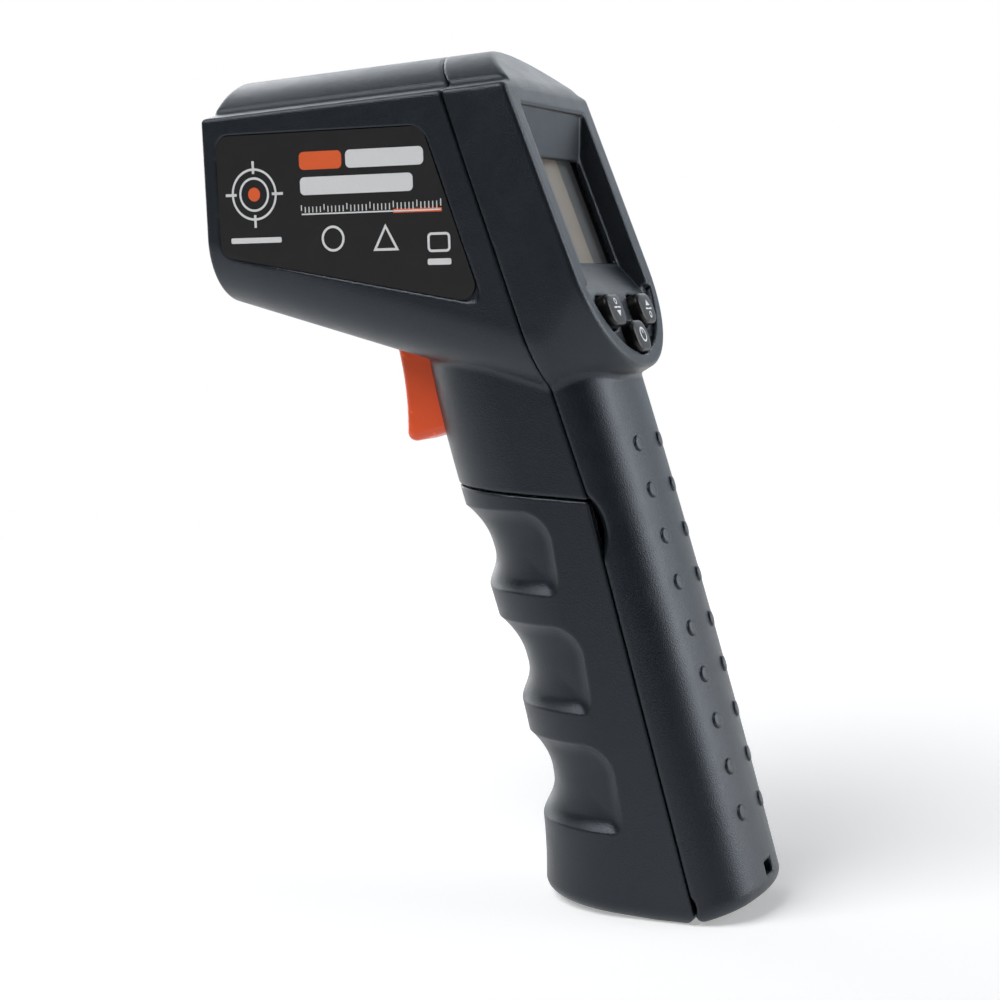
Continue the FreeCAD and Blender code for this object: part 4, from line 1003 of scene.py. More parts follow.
@dataclass
class Moulding:
    """A closed moulded piece that is meshed from its signed distance."""

    name: str
    low: Point
    high: Point
    step: float
    distance: Callable[[Array, Array, Array], Array]

    def build(self, material: bpy.types.Material) -> bpy.types.Object:
        """Samples half the piece, mirrors it and makes its skin.

        Args:
            material: The finish.

        Returns:
            The new object, at the origin.
        """
        step = self.step * 1.0
        xs = np.arange(self.low[0], self.high[0] + step, step, dtype=np.float32)
        ys = (np.arange(int(self.high[1] / step) + 2, dtype=np.float32) + 0.5) * step
        zs = np.arange(self.low[2], self.high[2] + step, step, dtype=np.float32)
        half = self.distance(xs[:, None, None], ys[None, :, None], zs[None, None, :])
        half = np.broadcast_to(half, (len(xs), len(ys), len(zs)))
        whole = np.concatenate([half[:, ::-1], half], axis=1).astype(np.float32)
        grid = openvdb.FloatGrid(float(whole.max()))
        grid.copyFromArray(np.ascontiguousarray(whole))
        points, triangles, quads = grid.convertToPolygons(isovalue=0.0, adaptivity=0.0)
        origin = np.array([xs[0], -float(ys[-1]), zs[0]])
        points = np.asarray(points, float) * step + origin
        points = self._settle(self._settle(points))
        faces = [tuple(f) for f in triangles] + [tuple(f) for f in quads]
        made = mesh_piece(self.name, points, faces, material)
        if signed_volume(points, quads) < 0:
            made.data.flip_normals()
        return made

    def _settle(self, points: Array) -> Array:
        """Moves points along the slope of the distance onto the surface.

        Args:
            points: Points near the surface.

        Returns:
            The moved points.
        """
        reach = 0.02
        x, y, z = points.T

        def at(dx: float, dy: float, dz: float) -> Array:
            """The distance at the moved points."""
            return self.distance(x + dx, np.abs(y + dy), z + dz)

        here = at(0, 0, 0)
        slope = np.stack([at(reach, 0, 0) - at(-reach, 0, 0), at(0, reach, 0) - at(0, -reach, 0),
                          at(0, 0, reach) - at(0, 0, -reach)], axis=1) / (2 * reach)
        square = np.maximum((slope**2).sum(axis=1), 0.2)
        move = np.clip(here / square, -0.3, 0.3)
        return points - slope * move[:, None]


def signed_volume(points: Array, quads: Array) -> float:
    """Six times the volume inside quads, negative where they face inwards.

    Args:
        points: Corner points.
        quads: Their indices, four to a face.

    Returns:
        Six times the volume.
    """
    corners = points[np.asarray(quads, int)]
    first = np.cross(corners[:, 0], corners[:, 1])
    second = np.cross(corners[:, 0], corners[:, 2])
    return float((first * corners[:, 2]).sum() + (second * corners[:, 3]).sum())


# ------------------------------------------------------------------ the three outer mouldings
@dataclass
class FrontShell:
    """Barrel and upper handle, with its nose pocket, trigger slot and label seats."""

    body: Body = field(default_factory=lambda: BODY)
    wall: float = 2.0
    joint_gap: float = 0.06
    edge: float = 0.30
    nose_block: float = 8.6
    plate_back: float = 4.4
    horn_hole: float = 11.3
    horn_height: float = 127.5
    laser_hole: float = 3.2
    laser_height: float = 144.6
    slot_centre: Point = (-42.0, 0.0, 93.9)
    slot_half: Point = (8.0, 5.55, 10.6)
    laser_reach: float = 1.0
    label_front: float = -76.9
    label_rear: float = -36.9
    label_rear_height: float = 146.0
    label_rear_slope: float = 0.34
    label_top: float = 140.7
    label_low: float = 118.9
    label_low_slope: float = 0.18
    label_corner: float = 2.6
    label_gap: float = 0.16
    label_depth: float = 0.37

    def label_seat(self, x: Array, z: Array) -> Array:
        """Distance to the label's outline, seen from the side.

        Args:
            x: Places along x, in millimetres.
            z: Heights.

        Returns:
            Signed distances.
        """
        rear = x - self.label_rear - self.label_rear_slope * (self.label_rear_height - z)
        low = self.label_low - self.label_low_slope * (x - self.label_front) - z
        ends = np.maximum(self.label_front - x, rear / math.hypot(1.0, self.label_rear_slope))
        tops = np.maximum(z - self.label_top, low / math.hypot(1.0, self.label_low_slope))
        return round_and(ends, tops, self.label_corner)

    def distance(self, x: Array, a: Array, z: Array) -> Array:
        """Signed distance to the front shell.

        Args:
            x: Places along x, in millimetres.
            a: Distances from the middle plane, all positive.
            z: Heights.

        Returns:
            Signed distances.
        """
        body = self.body
        whole = round_or(body.barrel(x, a, z), body.grip(x, a, z), 0.6)
        ahead = self.joint_gap - body.seam(x, z)
        above = self.joint_gap + body.over_door(x, z)
        nose = -body.along(x)
        outer = round_and(round_and(whole, nose, 0.8), round_and(ahead, above, 0.2), self.edge)
        hollow = np.maximum(whole + self.wall, nose + self.nose_block)
        hollow = np.maximum(hollow, above + self.wall)
        shell = less(outer, hollow)
        pocket = np.maximum(body.barrel(x, a, z) + self.wall, body.along(x) - self.plate_back)
        shell = less(shell, pocket)
        deep = body.along(x) - self.nose_block - self.laser_reach
        horn = np.maximum(np.hypot(a, z - self.horn_height) - self.horn_hole, deep)
        laser = np.maximum(np.hypot(a, z - self.laser_height) - self.laser_hole, deep)
        shell = less(less(shell, horn), laser)
        slot = block(x, a, z, self.slot_centre, self.slot_half, 0.6)
        shell = less(shell, slot, 0.3)
        seat = np.maximum(self.label_seat(x, z) - self.label_gap,
                          body.flank(x, z) - self.label_depth - a)
        return less(shell, seat, 0.12)

    def build(self, finish: bpy.types.Material) -> None:
        """Makes the front shell.

        Args:
            finish: The material.
        """
        made = Moulding("front_shell_skin", (-80.9, 0, 73.5), (-6.0, 22.0, 156.0), 0.43,
                        self.distance).build(finish)
        fasten(made, "housing", "dark_plastic", "front_shell")


@dataclass
class RearShell:
    """Hood, display recess, key floor and the whole rear of the handle."""

    body: Body = field(default_factory=lambda: BODY)
    wall: float = 2.0
    edge: float = 0.30
    joint_gap: float = 0.06
    recess_top: float = 1.5
    recess_step: float = 0.8
    recess_half: float = 15.3
    window_top: float = 8.9
    window_low: float = 30.5
    window_half: float = 14.0
    window_depth: float = 3.6
    ramp_end: float = 37.0
    floor_depth: float = 1.2
    floor_radius: float = 17.2
    pan: float = 1.2
    keys: tuple = ((40.4, 8.0, 7.4), (45.5, 0.0, 7.0))
    key_length: float = 6.0
    key_gap: float = 0.3
    key_depth: float = 6.0
    shelf_start: float = 35.0
    shelf_low: float = 2.8
    shelf_inset: float = 1.2
    opening: tuple[float, float, float] = (19.7, 10.2, 13.4)
    opening_depth: float = 7.0
    inset: float = 0.4
    pivot: tuple[float, float] = (8.9, 2.9)
    pin_radius: float = 1.0
    pin_reach: float = 12.5
    ear_radius: float = 2.5
    ear_middle: float = 6.8
    ear_half: float = 1.2
    bar_end: float = 20.0
    swing: float = 3.15
    swing_half: float = 1.35
    strap_height: float = 7.7
    scoop_radius: float = 8.6
    scoop_depth: float = 1.9
    scoop_drop: float = 6.2
    scoop_lead: float = 2.4
    bevel_start: float = 11.5
    bevel_slope: float = 0.36
    base_radius: float = 2.5

    def void_over_display(self, s: Array, a: Array, n: Array) -> Array:
        """The hollow over the window: sloping walls, then a ramp up to the keys.

        Args:
            s: Distances down the display face.
            a: Distances from the middle plane, all positive.
            n: Distances out of the display face.

        Returns:
            Signed distances.
        """
        lean = (self.recess_half - self.window_half) / self.window_depth
        side = (a - self.recess_half - n * lean) / math.hypot(1.0, lean)
        slope = (self.window_top - self.recess_top) / (self.window_depth - self.recess_step)
        low_wall = (self.recess_top - (n + self.recess_step) * slope - s) / math.hypot(1.0, slope)
        top = np.maximum(self.recess_top - s, low_wall)
        climb = (self.window_depth - self.floor_depth) / (self.ramp_end - self.window_low)
        ramp = (-self.window_depth + (s - self.window_low) * climb - n) / math.hypot(1.0, climb)
        floor = np.maximum(-self.window_depth - n, ramp)
        well = round_and(round_and(side, top, 0.3), floor, 0.15)
        return np.maximum(well, s - self.ramp_end - 1.0)

    def void_over_keys(self, s: Array, a: Array, n: Array) -> Array:
        """The tombstone pocket that the keys stand in.

        Args:
            s: Distances down the display face.
            a: Distances from the middle plane, all positive.
            n: Distances out of the display face.

        Returns:
            Signed distances.
        """
        round_end = np.hypot(a, np.maximum(s - self.body.face_round, 0)) - self.floor_radius
        start = self.ramp_end - 1.5 - s
        return np.maximum(np.maximum(round_end, start), -self.floor_depth - n)

    def key_holes(self, s: Array, a: Array, n: Array) -> Array:
        """The openings that the keys come through.

        Args:
            s: Distances down the display face.
            a: Distances from the middle plane, all positive.
            n: Distances out of the display face.

        Returns:
            Signed distances.
        """
        holes = None
        for row, offset, width in self.keys:
            half = self.key_length / 2 + self.key_gap
            across = width / 2 + self.key_gap
            hole = round_and(np.abs(s - row) - half, np.abs(a - offset) - across, 2.5)
            holes = hole if holes is None else np.minimum(holes, hole)
        return np.maximum(holes, -self.key_depth - n)

    def scoop(self, x: Array, a: Array, z: Array) -> Array:
        """The thumbnail scoop beside the top of the door.

        Args:
            x: Places along x, in millimetres.
            a: Distances from the middle plane, all positive.
            z: Heights.

        Returns:
            Signed distances.
        """
        lean = self.body.seam_line[2][2]
        centre_z = self.body.door_point[1] - self.scoop_drop
        centre_x = self.body.door_point[0] + self.scoop_drop * lean
        centre_x = centre_x - self.scoop_radius + self.scoop_lead
        away = around(x, z, (centre_x, centre_z)) - self.scoop_radius
        floor = self.body.grip_half + np.maximum(away * 1.1, -self.scoop_depth) - a
        return np.maximum(away, floor)

    def outside(self, x: Array, a: Array, z: Array) -> Array:
        """Hood and handle in one, filleted together and rounded at the base.

        Args:
            x: Places along x, in millimetres.
            a: Distances from the middle plane, all positive.
            z: Heights.

        Returns:
            Signed distances.
        """
        rise = self.bevel_slope * (x - self.bevel_start) - z
        foot = np.maximum(-z, rise / math.hypot(1.0, self.bevel_slope))
        grip = round_and(self.body.grip(x, a, z), foot, self.base_radius)
        return round_or(self.body.hooded(x, a, z), grip, 0.8)

    def hinge(self, x: Array, a: Array, z: Array, whole: Array) -> Array:
        """The two ears that hold the door's pin, each on a bar from the rear wall.

        Args:
            x: Places along x, in millimetres.
            a: Distances from the middle plane, all positive.
            z: Heights.
            whole: Signed distances to the outside.

        Returns:
            Signed distances.
        """
        px, pz = self.pivot
        sides = np.abs(a - self.ear_middle) - self.ear_half
        ear = np.maximum(around(x, z, self.pivot) - self.ear_radius, sides)
        bar = np.maximum(np.maximum(px - x, x - self.bar_end),
                         np.maximum(np.abs(z - pz) - self.ear_radius, sides))
        return np.minimum(ear, np.maximum(bar, whole + self.inset))

    def inner_walls(self, x: Array, a: Array, z: Array, whole: Array, behind: Array) -> Array:
        """The display's pan, the keys' shelf, the ceiling over the door and the hinge.

        Args:
            x: Places along x, in millimetres.
            a: Distances from the middle plane, all positive.
            z: Heights.
            whole: Signed distances to the outside.
            behind: Signed distances to what is behind the joint.

        Returns:
            Signed distances.
        """
        body = self.body
        s, n = body.in_face(x, z)
        pan = np.maximum(self.void_over_display(s, a, n) - self.pan, whole + 0.3)
        rim = np.hypot(a, np.maximum(s - body.face_round, 0)) - body.face_half + self.shelf_inset
        shelf = np.maximum(np.maximum(rim, self.shelf_start - s),
                           np.maximum(n + 0.3, -self.shelf_low - n))
        ceiling = np.maximum(np.abs(body.over_door(x, z) + 1.0) - 1.0, behind)
        low = np.minimum(np.maximum(ceiling, whole + self.inset), self.hinge(x, a, z, whole))
        return np.minimum(np.minimum(pan, shelf), low)

    def cuts(self, x: Array, a: Array, z: Array) -> Iterator[tuple[Array, float]]:
        """Every opening of the shell, each with the rounding of its edge.

        Args:
            x: Places along x, in millimetres.
            a: Distances from the middle plane, all positive.
            z: Heights.

        Returns:
            Pairs of signed distances and a radius.
        """
        s, n = self.body.in_face(x, z)
        middle, half_s, half_y = self.opening
        window = round_and(np.abs(s - middle) - half_s, a - half_y, 0.5)
        yield self.void_over_display(s, a, n), 0.35
        yield self.void_over_keys(s, a, n), 0.35
        yield np.maximum(window, -self.opening_depth - n), 0.15
        yield self.key_holes(s, a, n), 0.25
        yield self.scoop(x, a, z), 0.4
        yield np.maximum(around(x, z, self.pivot) - self.pin_radius, a - self.pin_reach), 0.2
        rear = self.body.rear_line(self.strap_height)
        yield block(x, a, z, (rear, 0.0, self.strap_height), (5.0, 2.0, 1.2), 0.3), 0.2
        yield block(x, a, z, (rear - 3.8, 0.0, 3.5), (1.2, 2.0, 5.4), 0.3), 0.2
        room = around(x, z, self.pivot) - self.swing
        yield np.maximum(room, self.swing_half - np.abs(a - self.ear_middle)), 0.2

    def distance(self, x: Array, a: Array, z: Array) -> Array:
        """Signed distance to the rear shell.

        Args:
            x: Places along x, in millimetres.
            a: Distances from the middle plane, all positive.
            z: Heights.

        Returns:
            Signed distances.
        """
        whole = self.outside(x, a, z)
        behind = self.joint_gap + self.body.seam(x, z)
        outer = round_and(whole, round_and(behind, -z, 1.8), self.edge)
        shell = less(outer, np.maximum(whole + self.wall, self.wall - z))
        solid = np.minimum(shell, self.inner_walls(x, a, z, whole, behind))
        for tool, radius in self.cuts(x, a, z):
            solid = less(solid, tool, radius)
        return solid

    def build(self, finish: bpy.types.Material) -> None:
        """Makes the rear shell.

        Args:
            finish: The material.
        """
        made = Moulding("rear_shell_skin", (-41.5, 0, -0.8), (23.4, 22.0, 156.0), 0.45,
                        self.distance).build(finish)
        fasten(made, "housing", "dark_plastic", "rear_shell")


@dataclass
class BatteryDoor:
    """The front of the grip: finger grooves outside, hinge knuckles at the heel."""

    body: Body = field(default_factory=lambda: BODY)
    gap: float = 0.3
    side_gap: float = 0.14
    edge: float = 0.26
    wall: float = 2.0
    front_wall: float = 3.9
    pivot: tuple[float, float] = (8.9, 2.9)
    knuckle: float = 2.9
    ear_middle: float = 6.8
    ear_half: float = 1.55
    groove_backs: tuple = (-13.2, -7.4, -1.9)
    groove_tops: tuple = (72.6, 52.2, 31.2)
    groove_lows: tuple = (57.6, 36.6, 15.4)
    groove_lean: float = 0.16
    front_depth: float = 2.9
    side_depth: float = 1.7
    bevel_start: float = 4.0
    bevel_slope: float = 0.055
    base_radius: float = 2.5
    pin_radius: float = 1.06
    pin_reach: float = 13.0

    def grooves(self, x: Array, a: Array, z: Array) -> Array:
        """How far the surface is pressed in: three D-shaped hollows round the front.

        Args:
            x: Places along x, in millimetres.
            a: Distances from the middle plane, all positive.
            z: Heights.

        Returns:
            Depths, nought outside the hollows.
        """
        share = np.clip((a - 5.0) / 8.5, 0.0, 1.0)
        share = share * share * (3 - 2 * share)
        most = self.front_depth + (self.side_depth - self.front_depth) * share
        pressed = 0.0
        for back, top, low in zip(self.groove_backs, self.groove_tops, self.groove_lows):
            middle, half = (top + low) / 2, (top - low) / 2
            lean = back + self.groove_lean * (middle - z) - 0.4
            corner = 5.5 - 3.0 * np.clip((middle - z) / half, 0.0, 1.0)
            inside = -round_and(x - lean, np.abs(z - middle) - half, corner)
            wall = 1.0 - (1.0 - np.clip(inside / 2.6, 0.0, 1.0))**2
            bowl = np.clip(inside / (half * 0.95), 0.0, 1.0)
            side = 0.55 * wall + 0.45 * bowl * (2 - bowl)
            soft = bowl * bowl * (3 - 2 * bowl)
            low_share = np.clip((middle - z) / half, 0.0, 1.0)
            front = 1.0 - (1.0 - bowl)**2.2
            front = front + (soft - front) * low_share * 0.9
            pressed = pressed + most * (front + (side - front) * share)
        return pressed

    def distance(self, x: Array, a: Array, z: Array) -> Array:
        """Signed distance to the door.

        Args:
            x: Places along x, in millimetres.
            a: Distances from the middle plane, all positive.
            z: Heights.

        Returns:
            Signed distances.
        """
        body = self.body
        foot = np.maximum(-z, self.bevel_slope * (self.bevel_start - x) - z)
        whole = round_and(body.grip(x, a, z) + self.grooves(x, a, z), foot, self.base_radius)
        ahead = self.side_gap - body.seam(x, z)
        below = self.gap - body.over_door(x, z)
        outer = round_and(whole, round_and(ahead, below, 0.4), self.edge)
        core = body.grip(x, a, z, self.wall, self.front_wall)
        hollow = np.maximum(core, self.wall - z)
        shell = less(outer, hollow)
        heel = np.maximum(self.pivot[0] - x, z - self.pivot[1])
        shell = less(shell, heel)
        barrel = around(x, z, self.pivot) - self.knuckle
        shell = np.minimum(shell, np.maximum(barrel, np.maximum(whole, ahead)))
        notch = block(x, a, z, (self.pivot[0] + 3.0, self.ear_middle, 2.5),
                      (6.25, self.ear_half, 3.7))
        pin = np.maximum(around(x, z, self.pivot) - self.pin_radius, a - self.pin_reach)
        return less(less(shell, notch), pin, 0.1)

    def build(self, finish: bpy.types.Material) -> None:
        """Makes the door.

        Args:
            finish: The material.
        """
        made = Moulding("battery_door_skin", (-38.8, 0, -0.8), (13.0, 16.2, 77.6), 0.33,
                        self.distance).build(finish)
        fasten(made, "door", "dark_plastic", "battery_door")


@dataclass
class Trigger:
    """The finger piece, rounded down its front edges."""

    pivot: tuple[float, float] = (-45.0, 106.6)
    half: float = 5.2
    reach: float = 22.1
    blade_top: float = 5.4
    front_lead: float = 3.9
    front_lean: float = 1.5
    back_reach: float = 7.2
    back_slope: float = 0.095
    foot_slope: float = 0.27
    bulge: float = 4.4
    arm_top: float = 107.0
    arm_end: float = -31.0
    arm_depth: float = 3.4
    hub: float = 2.8
    pin_radius: float = 1.25

    def distance(self, x: Array, a: Array, z: Array) -> Array:
        """Signed distance to the trigger.

        Args:
            x: Places along x, in millimetres.
            a: Distances from the middle plane, all positive.
            z: Heights.

        Returns:
            Signed distances.
        """
        px, pz = self.pivot
        base = pz - self.reach
        t = (pz - self.blade_top - z) / (self.reach - self.blade_top)
        bow = self.bulge * t * (1.0 - t)
        front = (px - self.front_lead + self.front_lean * t + bow * 0.55) - x
        back = x - (px + self.back_reach - (z - base - 1.6) * self.back_slope)
        foot = (base + self.foot_slope * (x - px - 1.3)) - z
        blade = round_and(round_and(round_and(front, foot, 2.4), back, 0.8), a - self.half, 1.5)
        blade = np.maximum(blade, z - self.arm_top)
        arm = np.maximum(np.maximum(px + 2.0 - x, x - self.arm_end), a - self.half)
        arm = np.maximum(arm, np.maximum(z - self.arm_top, self.arm_top - self.arm_depth - z))
        hub = np.maximum(around(x, z, self.pivot) - self.hub, a - self.half)
        whole = np.minimum(blade, np.minimum(arm, hub))
        pin = around(x, z, self.pivot) - self.pin_radius
        scoop = block(x, a, z, (px + 4.6, 0.0, pz - 11.7), (2.1, self.half - 1.6, 6.2), 0.4)
        return less(less(whole, pin, 0.1), scoop)

    def build(self, finish: bpy.types.Material) -> None:
        """Makes the trigger.

        Args:
            finish: The material.
        """
        made = Moulding("trigger_skin", (-49.0, 0, 83.0), (-30.0, 5.8, 110.4), 0.22,
                        self.distance).build(finish)
        fasten(made, "trigger", "orange_plastic", "trigger")


# ------------------------------------------------------------------ grip dots
@dataclass
class GripDots:
    """Two columns of low flat-topped dots on the rear of the handle."""

    rows: int = 9
    low: float = 18.7
    high: float = 84.2
    half_spacing: float = 5.5
    radius: float = 1.5
    rise: float = 0.42

    def build(self, stamper: Stamper, finish: bpy.types.Material) -> None:
        """Makes the dots as one piece.

        Args:
            stamper: Sets copies of a prototype on points.
            finish: The material.
        """
        points, facings = [], []
        for row in range(self.rows):
            z = self.low + row * (self.high - self.low) / (self.rows - 1)
            centre = BODY.rear_line(z) - BODY.grip_crown
            out = math.sqrt(BODY.grip_crown**2 - self.half_spacing**2)
            for side in (-1, 1):
                points.append((centre + out, side * self.half_spacing, z))
                facings.append((out, side * self.half_spacing, BODY.grip_lean * out))
        r, h = self.radius, self.rise
        profile = [(0, -0.6), (r + 0.1, -0.6), (r + 0.02, 0.0), (r - 0.06, h * 0.55),
                   (r - 0.2, h * 0.88), (r - 0.45, h), (0.6, h * 1.08), (0, h * 1.1)]
        dot = lathe("dot_prototype", profile, 40, finish)
        made = stamper.stamp("grip_dots", dot, points, facings, finish)
        fasten(made, "housing", "dark_plastic")


# ------------------------------------------------------------------ keys
class Symbol(Enum):
    """Generic symbols printed on the keys."""

    DOWN = "down"
    UP = "up"
    RING = "ring"


def arc(radius: float, start: float, end: float, steps: int) -> list[tuple[float, float]]:
    """Points along a circle, from start to end in degrees."""
    turns = [math.radians(start + (end - start) * k / steps) for k in range(steps + 1)]
    return [(radius * math.cos(t), radius * math.sin(t)) for t in turns]


def ribbon(path: Sequence[tuple[float, float]], width: float,
           closed: bool) -> tuple[list, list]:
    """A flat band along a path, as 2-D points and quads.

    Args:
        path: The middle line.
        width: The band's width.
        closed: Whether the path returns to its start.

    Returns:
        Points and faces.
    """
    line = np.asarray(path, float)
    count = len(line)
    if closed:
        before, after = np.roll(line, 1, 0), np.roll(line, -1, 0)
    else:
        before = np.vstack([2 * line[0] - line[1], line[:-1]])
        after = np.vstack([line[1:], 2 * line[-1] - line[-2]])
    into = line - before
    away = after - line
    into = into / np.linalg.norm(into, axis=1)[:, None]
    away = away / np.linalg.norm(away, axis=1)[:, None]
    mean = into + away
    mean = mean / np.linalg.norm(mean, axis=1)[:, None]
    normal = np.stack([-mean[:, 1], mean[:, 0]], axis=1)
    stretch = np.maximum((mean * into).sum(axis=1), 0.5)
    offset = normal * (width / 2 / stretch)[:, None]
    points = np.vstack([line + offset, line - offset])
    spans = count if closed else count - 1
    faces = [(k, (k + 1) % count, count + (k + 1) % count, count + k) for k in range(spans)]
    return points.tolist(), faces


@dataclass
class Print:
    """Flat shapes collected on one surface and made into thin closed plates."""

    points: list = field(default_factory=list)
    faces: list = field(default_factory=list)

    def add(self, shape: tuple[list, list], at: tuple[float, float] = (0.0, 0.0)) -> None:
        """Adds a flat shape, moved to a place.

        Args:
            shape: Points and faces.
            at: The place.
        """
        start = len(self.points)
        self.points += [(u + at[0], v + at[1]) for u, v in shape[0]]
        self.faces += [tuple(start + k for k in face) for face in shape[1]]

    def build(self, name: str, lift: Callable[[float, float, float], Point], thickness: float,
              finish: bpy.types.Material) -> bpy.types.Object:
        """Makes the plates.

        Args:
            name: The piece's name.
            lift: Turns flat coordinates and a height into a point.
            thickness: How far the plates stand up.
            finish: The finish.

        Returns:
            The new object.
        """
        count = len(self.points)
        points = [lift(u, v, thickness) for u, v in self.points]
        points += [lift(u, v, -thickness) for u, v in self.points]
        faces = [tuple(face) for face in self.faces]
        faces += [tuple(reversed([count + k for k in face])) for face in self.faces]
        edges = {}
        for face in self.faces:
            for k, first in enumerate(face):
                second = face[(k + 1) % len(face)]
                edges[(first, second)] = edges.get((first, second), 0) + 1
        for first, second in edges:
            if (second, first) not in edges:
                faces.append((second, first, count + first, count + second))
        made = mesh_piece(name, points, faces, finish, smooth=False)
        made.data.validate()
        recalculate(made)
        return made


@dataclass
class Key:
    """A domed rubber key on its stem, with a printed symbol."""

    name: str
    row: float
    offset: float
    width: float
    symbol: Symbol
    length: float = 6.0
    corner: float = 2.3
    proud: float = 1.0
    foot: float = -6.6

    def outline(self, inset: float, count: int = 48) -> list[tuple[float, float]]:
        """A rounded rectangle round the key's axis.

        Args:
            inset: How far it is moved inwards.
            count: How many points it has.

        Returns:
            Its points.
        """
        half_s, half_y = self.length / 2 - inset, self.width / 2 - inset
        radius = max(self.corner - inset, 0.3)
        points = []
        per_corner = count // 4
        for quarter, (ss, sy) in enumerate(((1, 1), (-1, 1), (-1, -1), (1, -1))):
            for k in range(per_corner):
                turn = math.radians(90 * quarter + 90 * k / (per_corner - 1))
                points.append((ss * (half_s - radius) + radius * math.cos(turn),
                               sy * (half_y - radius) + radius * math.sin(turn)))
        return points

    def lift(self, s: float, y: float, n: float) -> Point:
        """A point in the display face's axes, as x, y, z.

        Args:
            s: Down the face, from the key's middle.
            y: Across the face, from the key's middle.
            n: Out of the face.

        Returns:
            The point, in millimetres.
        """
        size = math.hypot(1.0, BODY.face_slope)
        ds, dn = self.row + s, n
        x = BODY.face_point[0] + (ds * BODY.face_slope + dn) / size
        z = BODY.face_point[1] + (-ds + dn * BODY.face_slope) / size
        return (x, self.offset + y, z)

    def dome(self, s: float, y: float) -> float:
        """The height of the key's top over a place on it."""
        fall = (2 * s / self.length)**2 + (2 * y / self.width)**2
        return self.proud - 0.22 * fall

    def build(self, rubber: bpy.types.Material, ink: bpy.types.Material) -> None:
        """Makes the key and its symbol.

        Args:
            rubber: The rubber's material.
            ink: The ink's material.
        """
        levels = [(0.9, self.foot), (0.9, -2.3), (0.0, -2.3), (0.0, 0.0), (0.02, 0.28),
                  (0.12, 0.52), (0.3, 0.72), (0.6, None), (1.2, None), (2.0, None)]
        points = []
        for inset, height in levels:
            for s, y in self.outline(inset):
                points.append(self.lift(s, y, self.dome(s, y) if height is None else height))
        count = len(self.outline(0.0))
        faces = ring_faces(len(levels), count) + end_faces(len(levels), count)[:1]
        points.append(self.lift(0, 0, self.dome(0, 0)))
        last, top = len(points) - 1, (len(levels) - 1) * count
        faces += [(top + k, top + (k + 1) % count, last) for k in range(count)]
        made = mesh_piece(f"key_{self.name}_cap", points, faces, rubber)
        recalculate(made)
        made.data.set_sharp_from_angle(angle=math.radians(50))
        fasten(made, f"{self.name}_key", "key_rubber", f"key_{self.name}")
        self.build_symbol(ink)

    def build_symbol(self, ink: bpy.types.Material) -> None:
        """Prints the key's symbol on its dome.

        Args:
            ink: The ink's material.
        """
        marks = Print()
        if self.symbol is Symbol.RING:
            marks.add(ribbon(arc(1.25, 0, 352.5, 46), 0.34, True))
            marks.add(ribbon([(-1.25, 0.0), (-0.2, 0.0)], 0.34, False))
        else:
            way = 1 if self.symbol is Symbol.DOWN else -1
            triangle = [(way * 1.45, 0.0), (way * 0.35, -1.0), (way * 0.35, 1.0)]
            marks.add((triangle, [(0, 1, 2)]))
            marks.add(ribbon([(-way * 0.25, -1.5), (-way * 0.25, 1.5)], 0.3, False))
            marks.add(ribbon([(-way * 1.4 + u * 0.62, v * 0.62) for u, v in arc(0.8, 0, 352.5, 46)],
                             0.26, True))

        def on_dome(s: float, y: float, n: float) -> Point:
            """A point just over the dome."""
            return self.lift(s, y, self.dome(s, y) + 0.004 + n)

        made = marks.build(f"key_{self.name}_symbol", on_dome, 0.022, ink)
        fasten(made, f"{self.name}_key", "key_rubber")


KEYS = (Key("left", 40.4, -8.0, 7.4, Symbol.DOWN), Key("right", 40.4, 8.0, 7.4, Symbol.UP),
        Key("mode", 45.5, 0.0, 7.0, Symbol.RING))


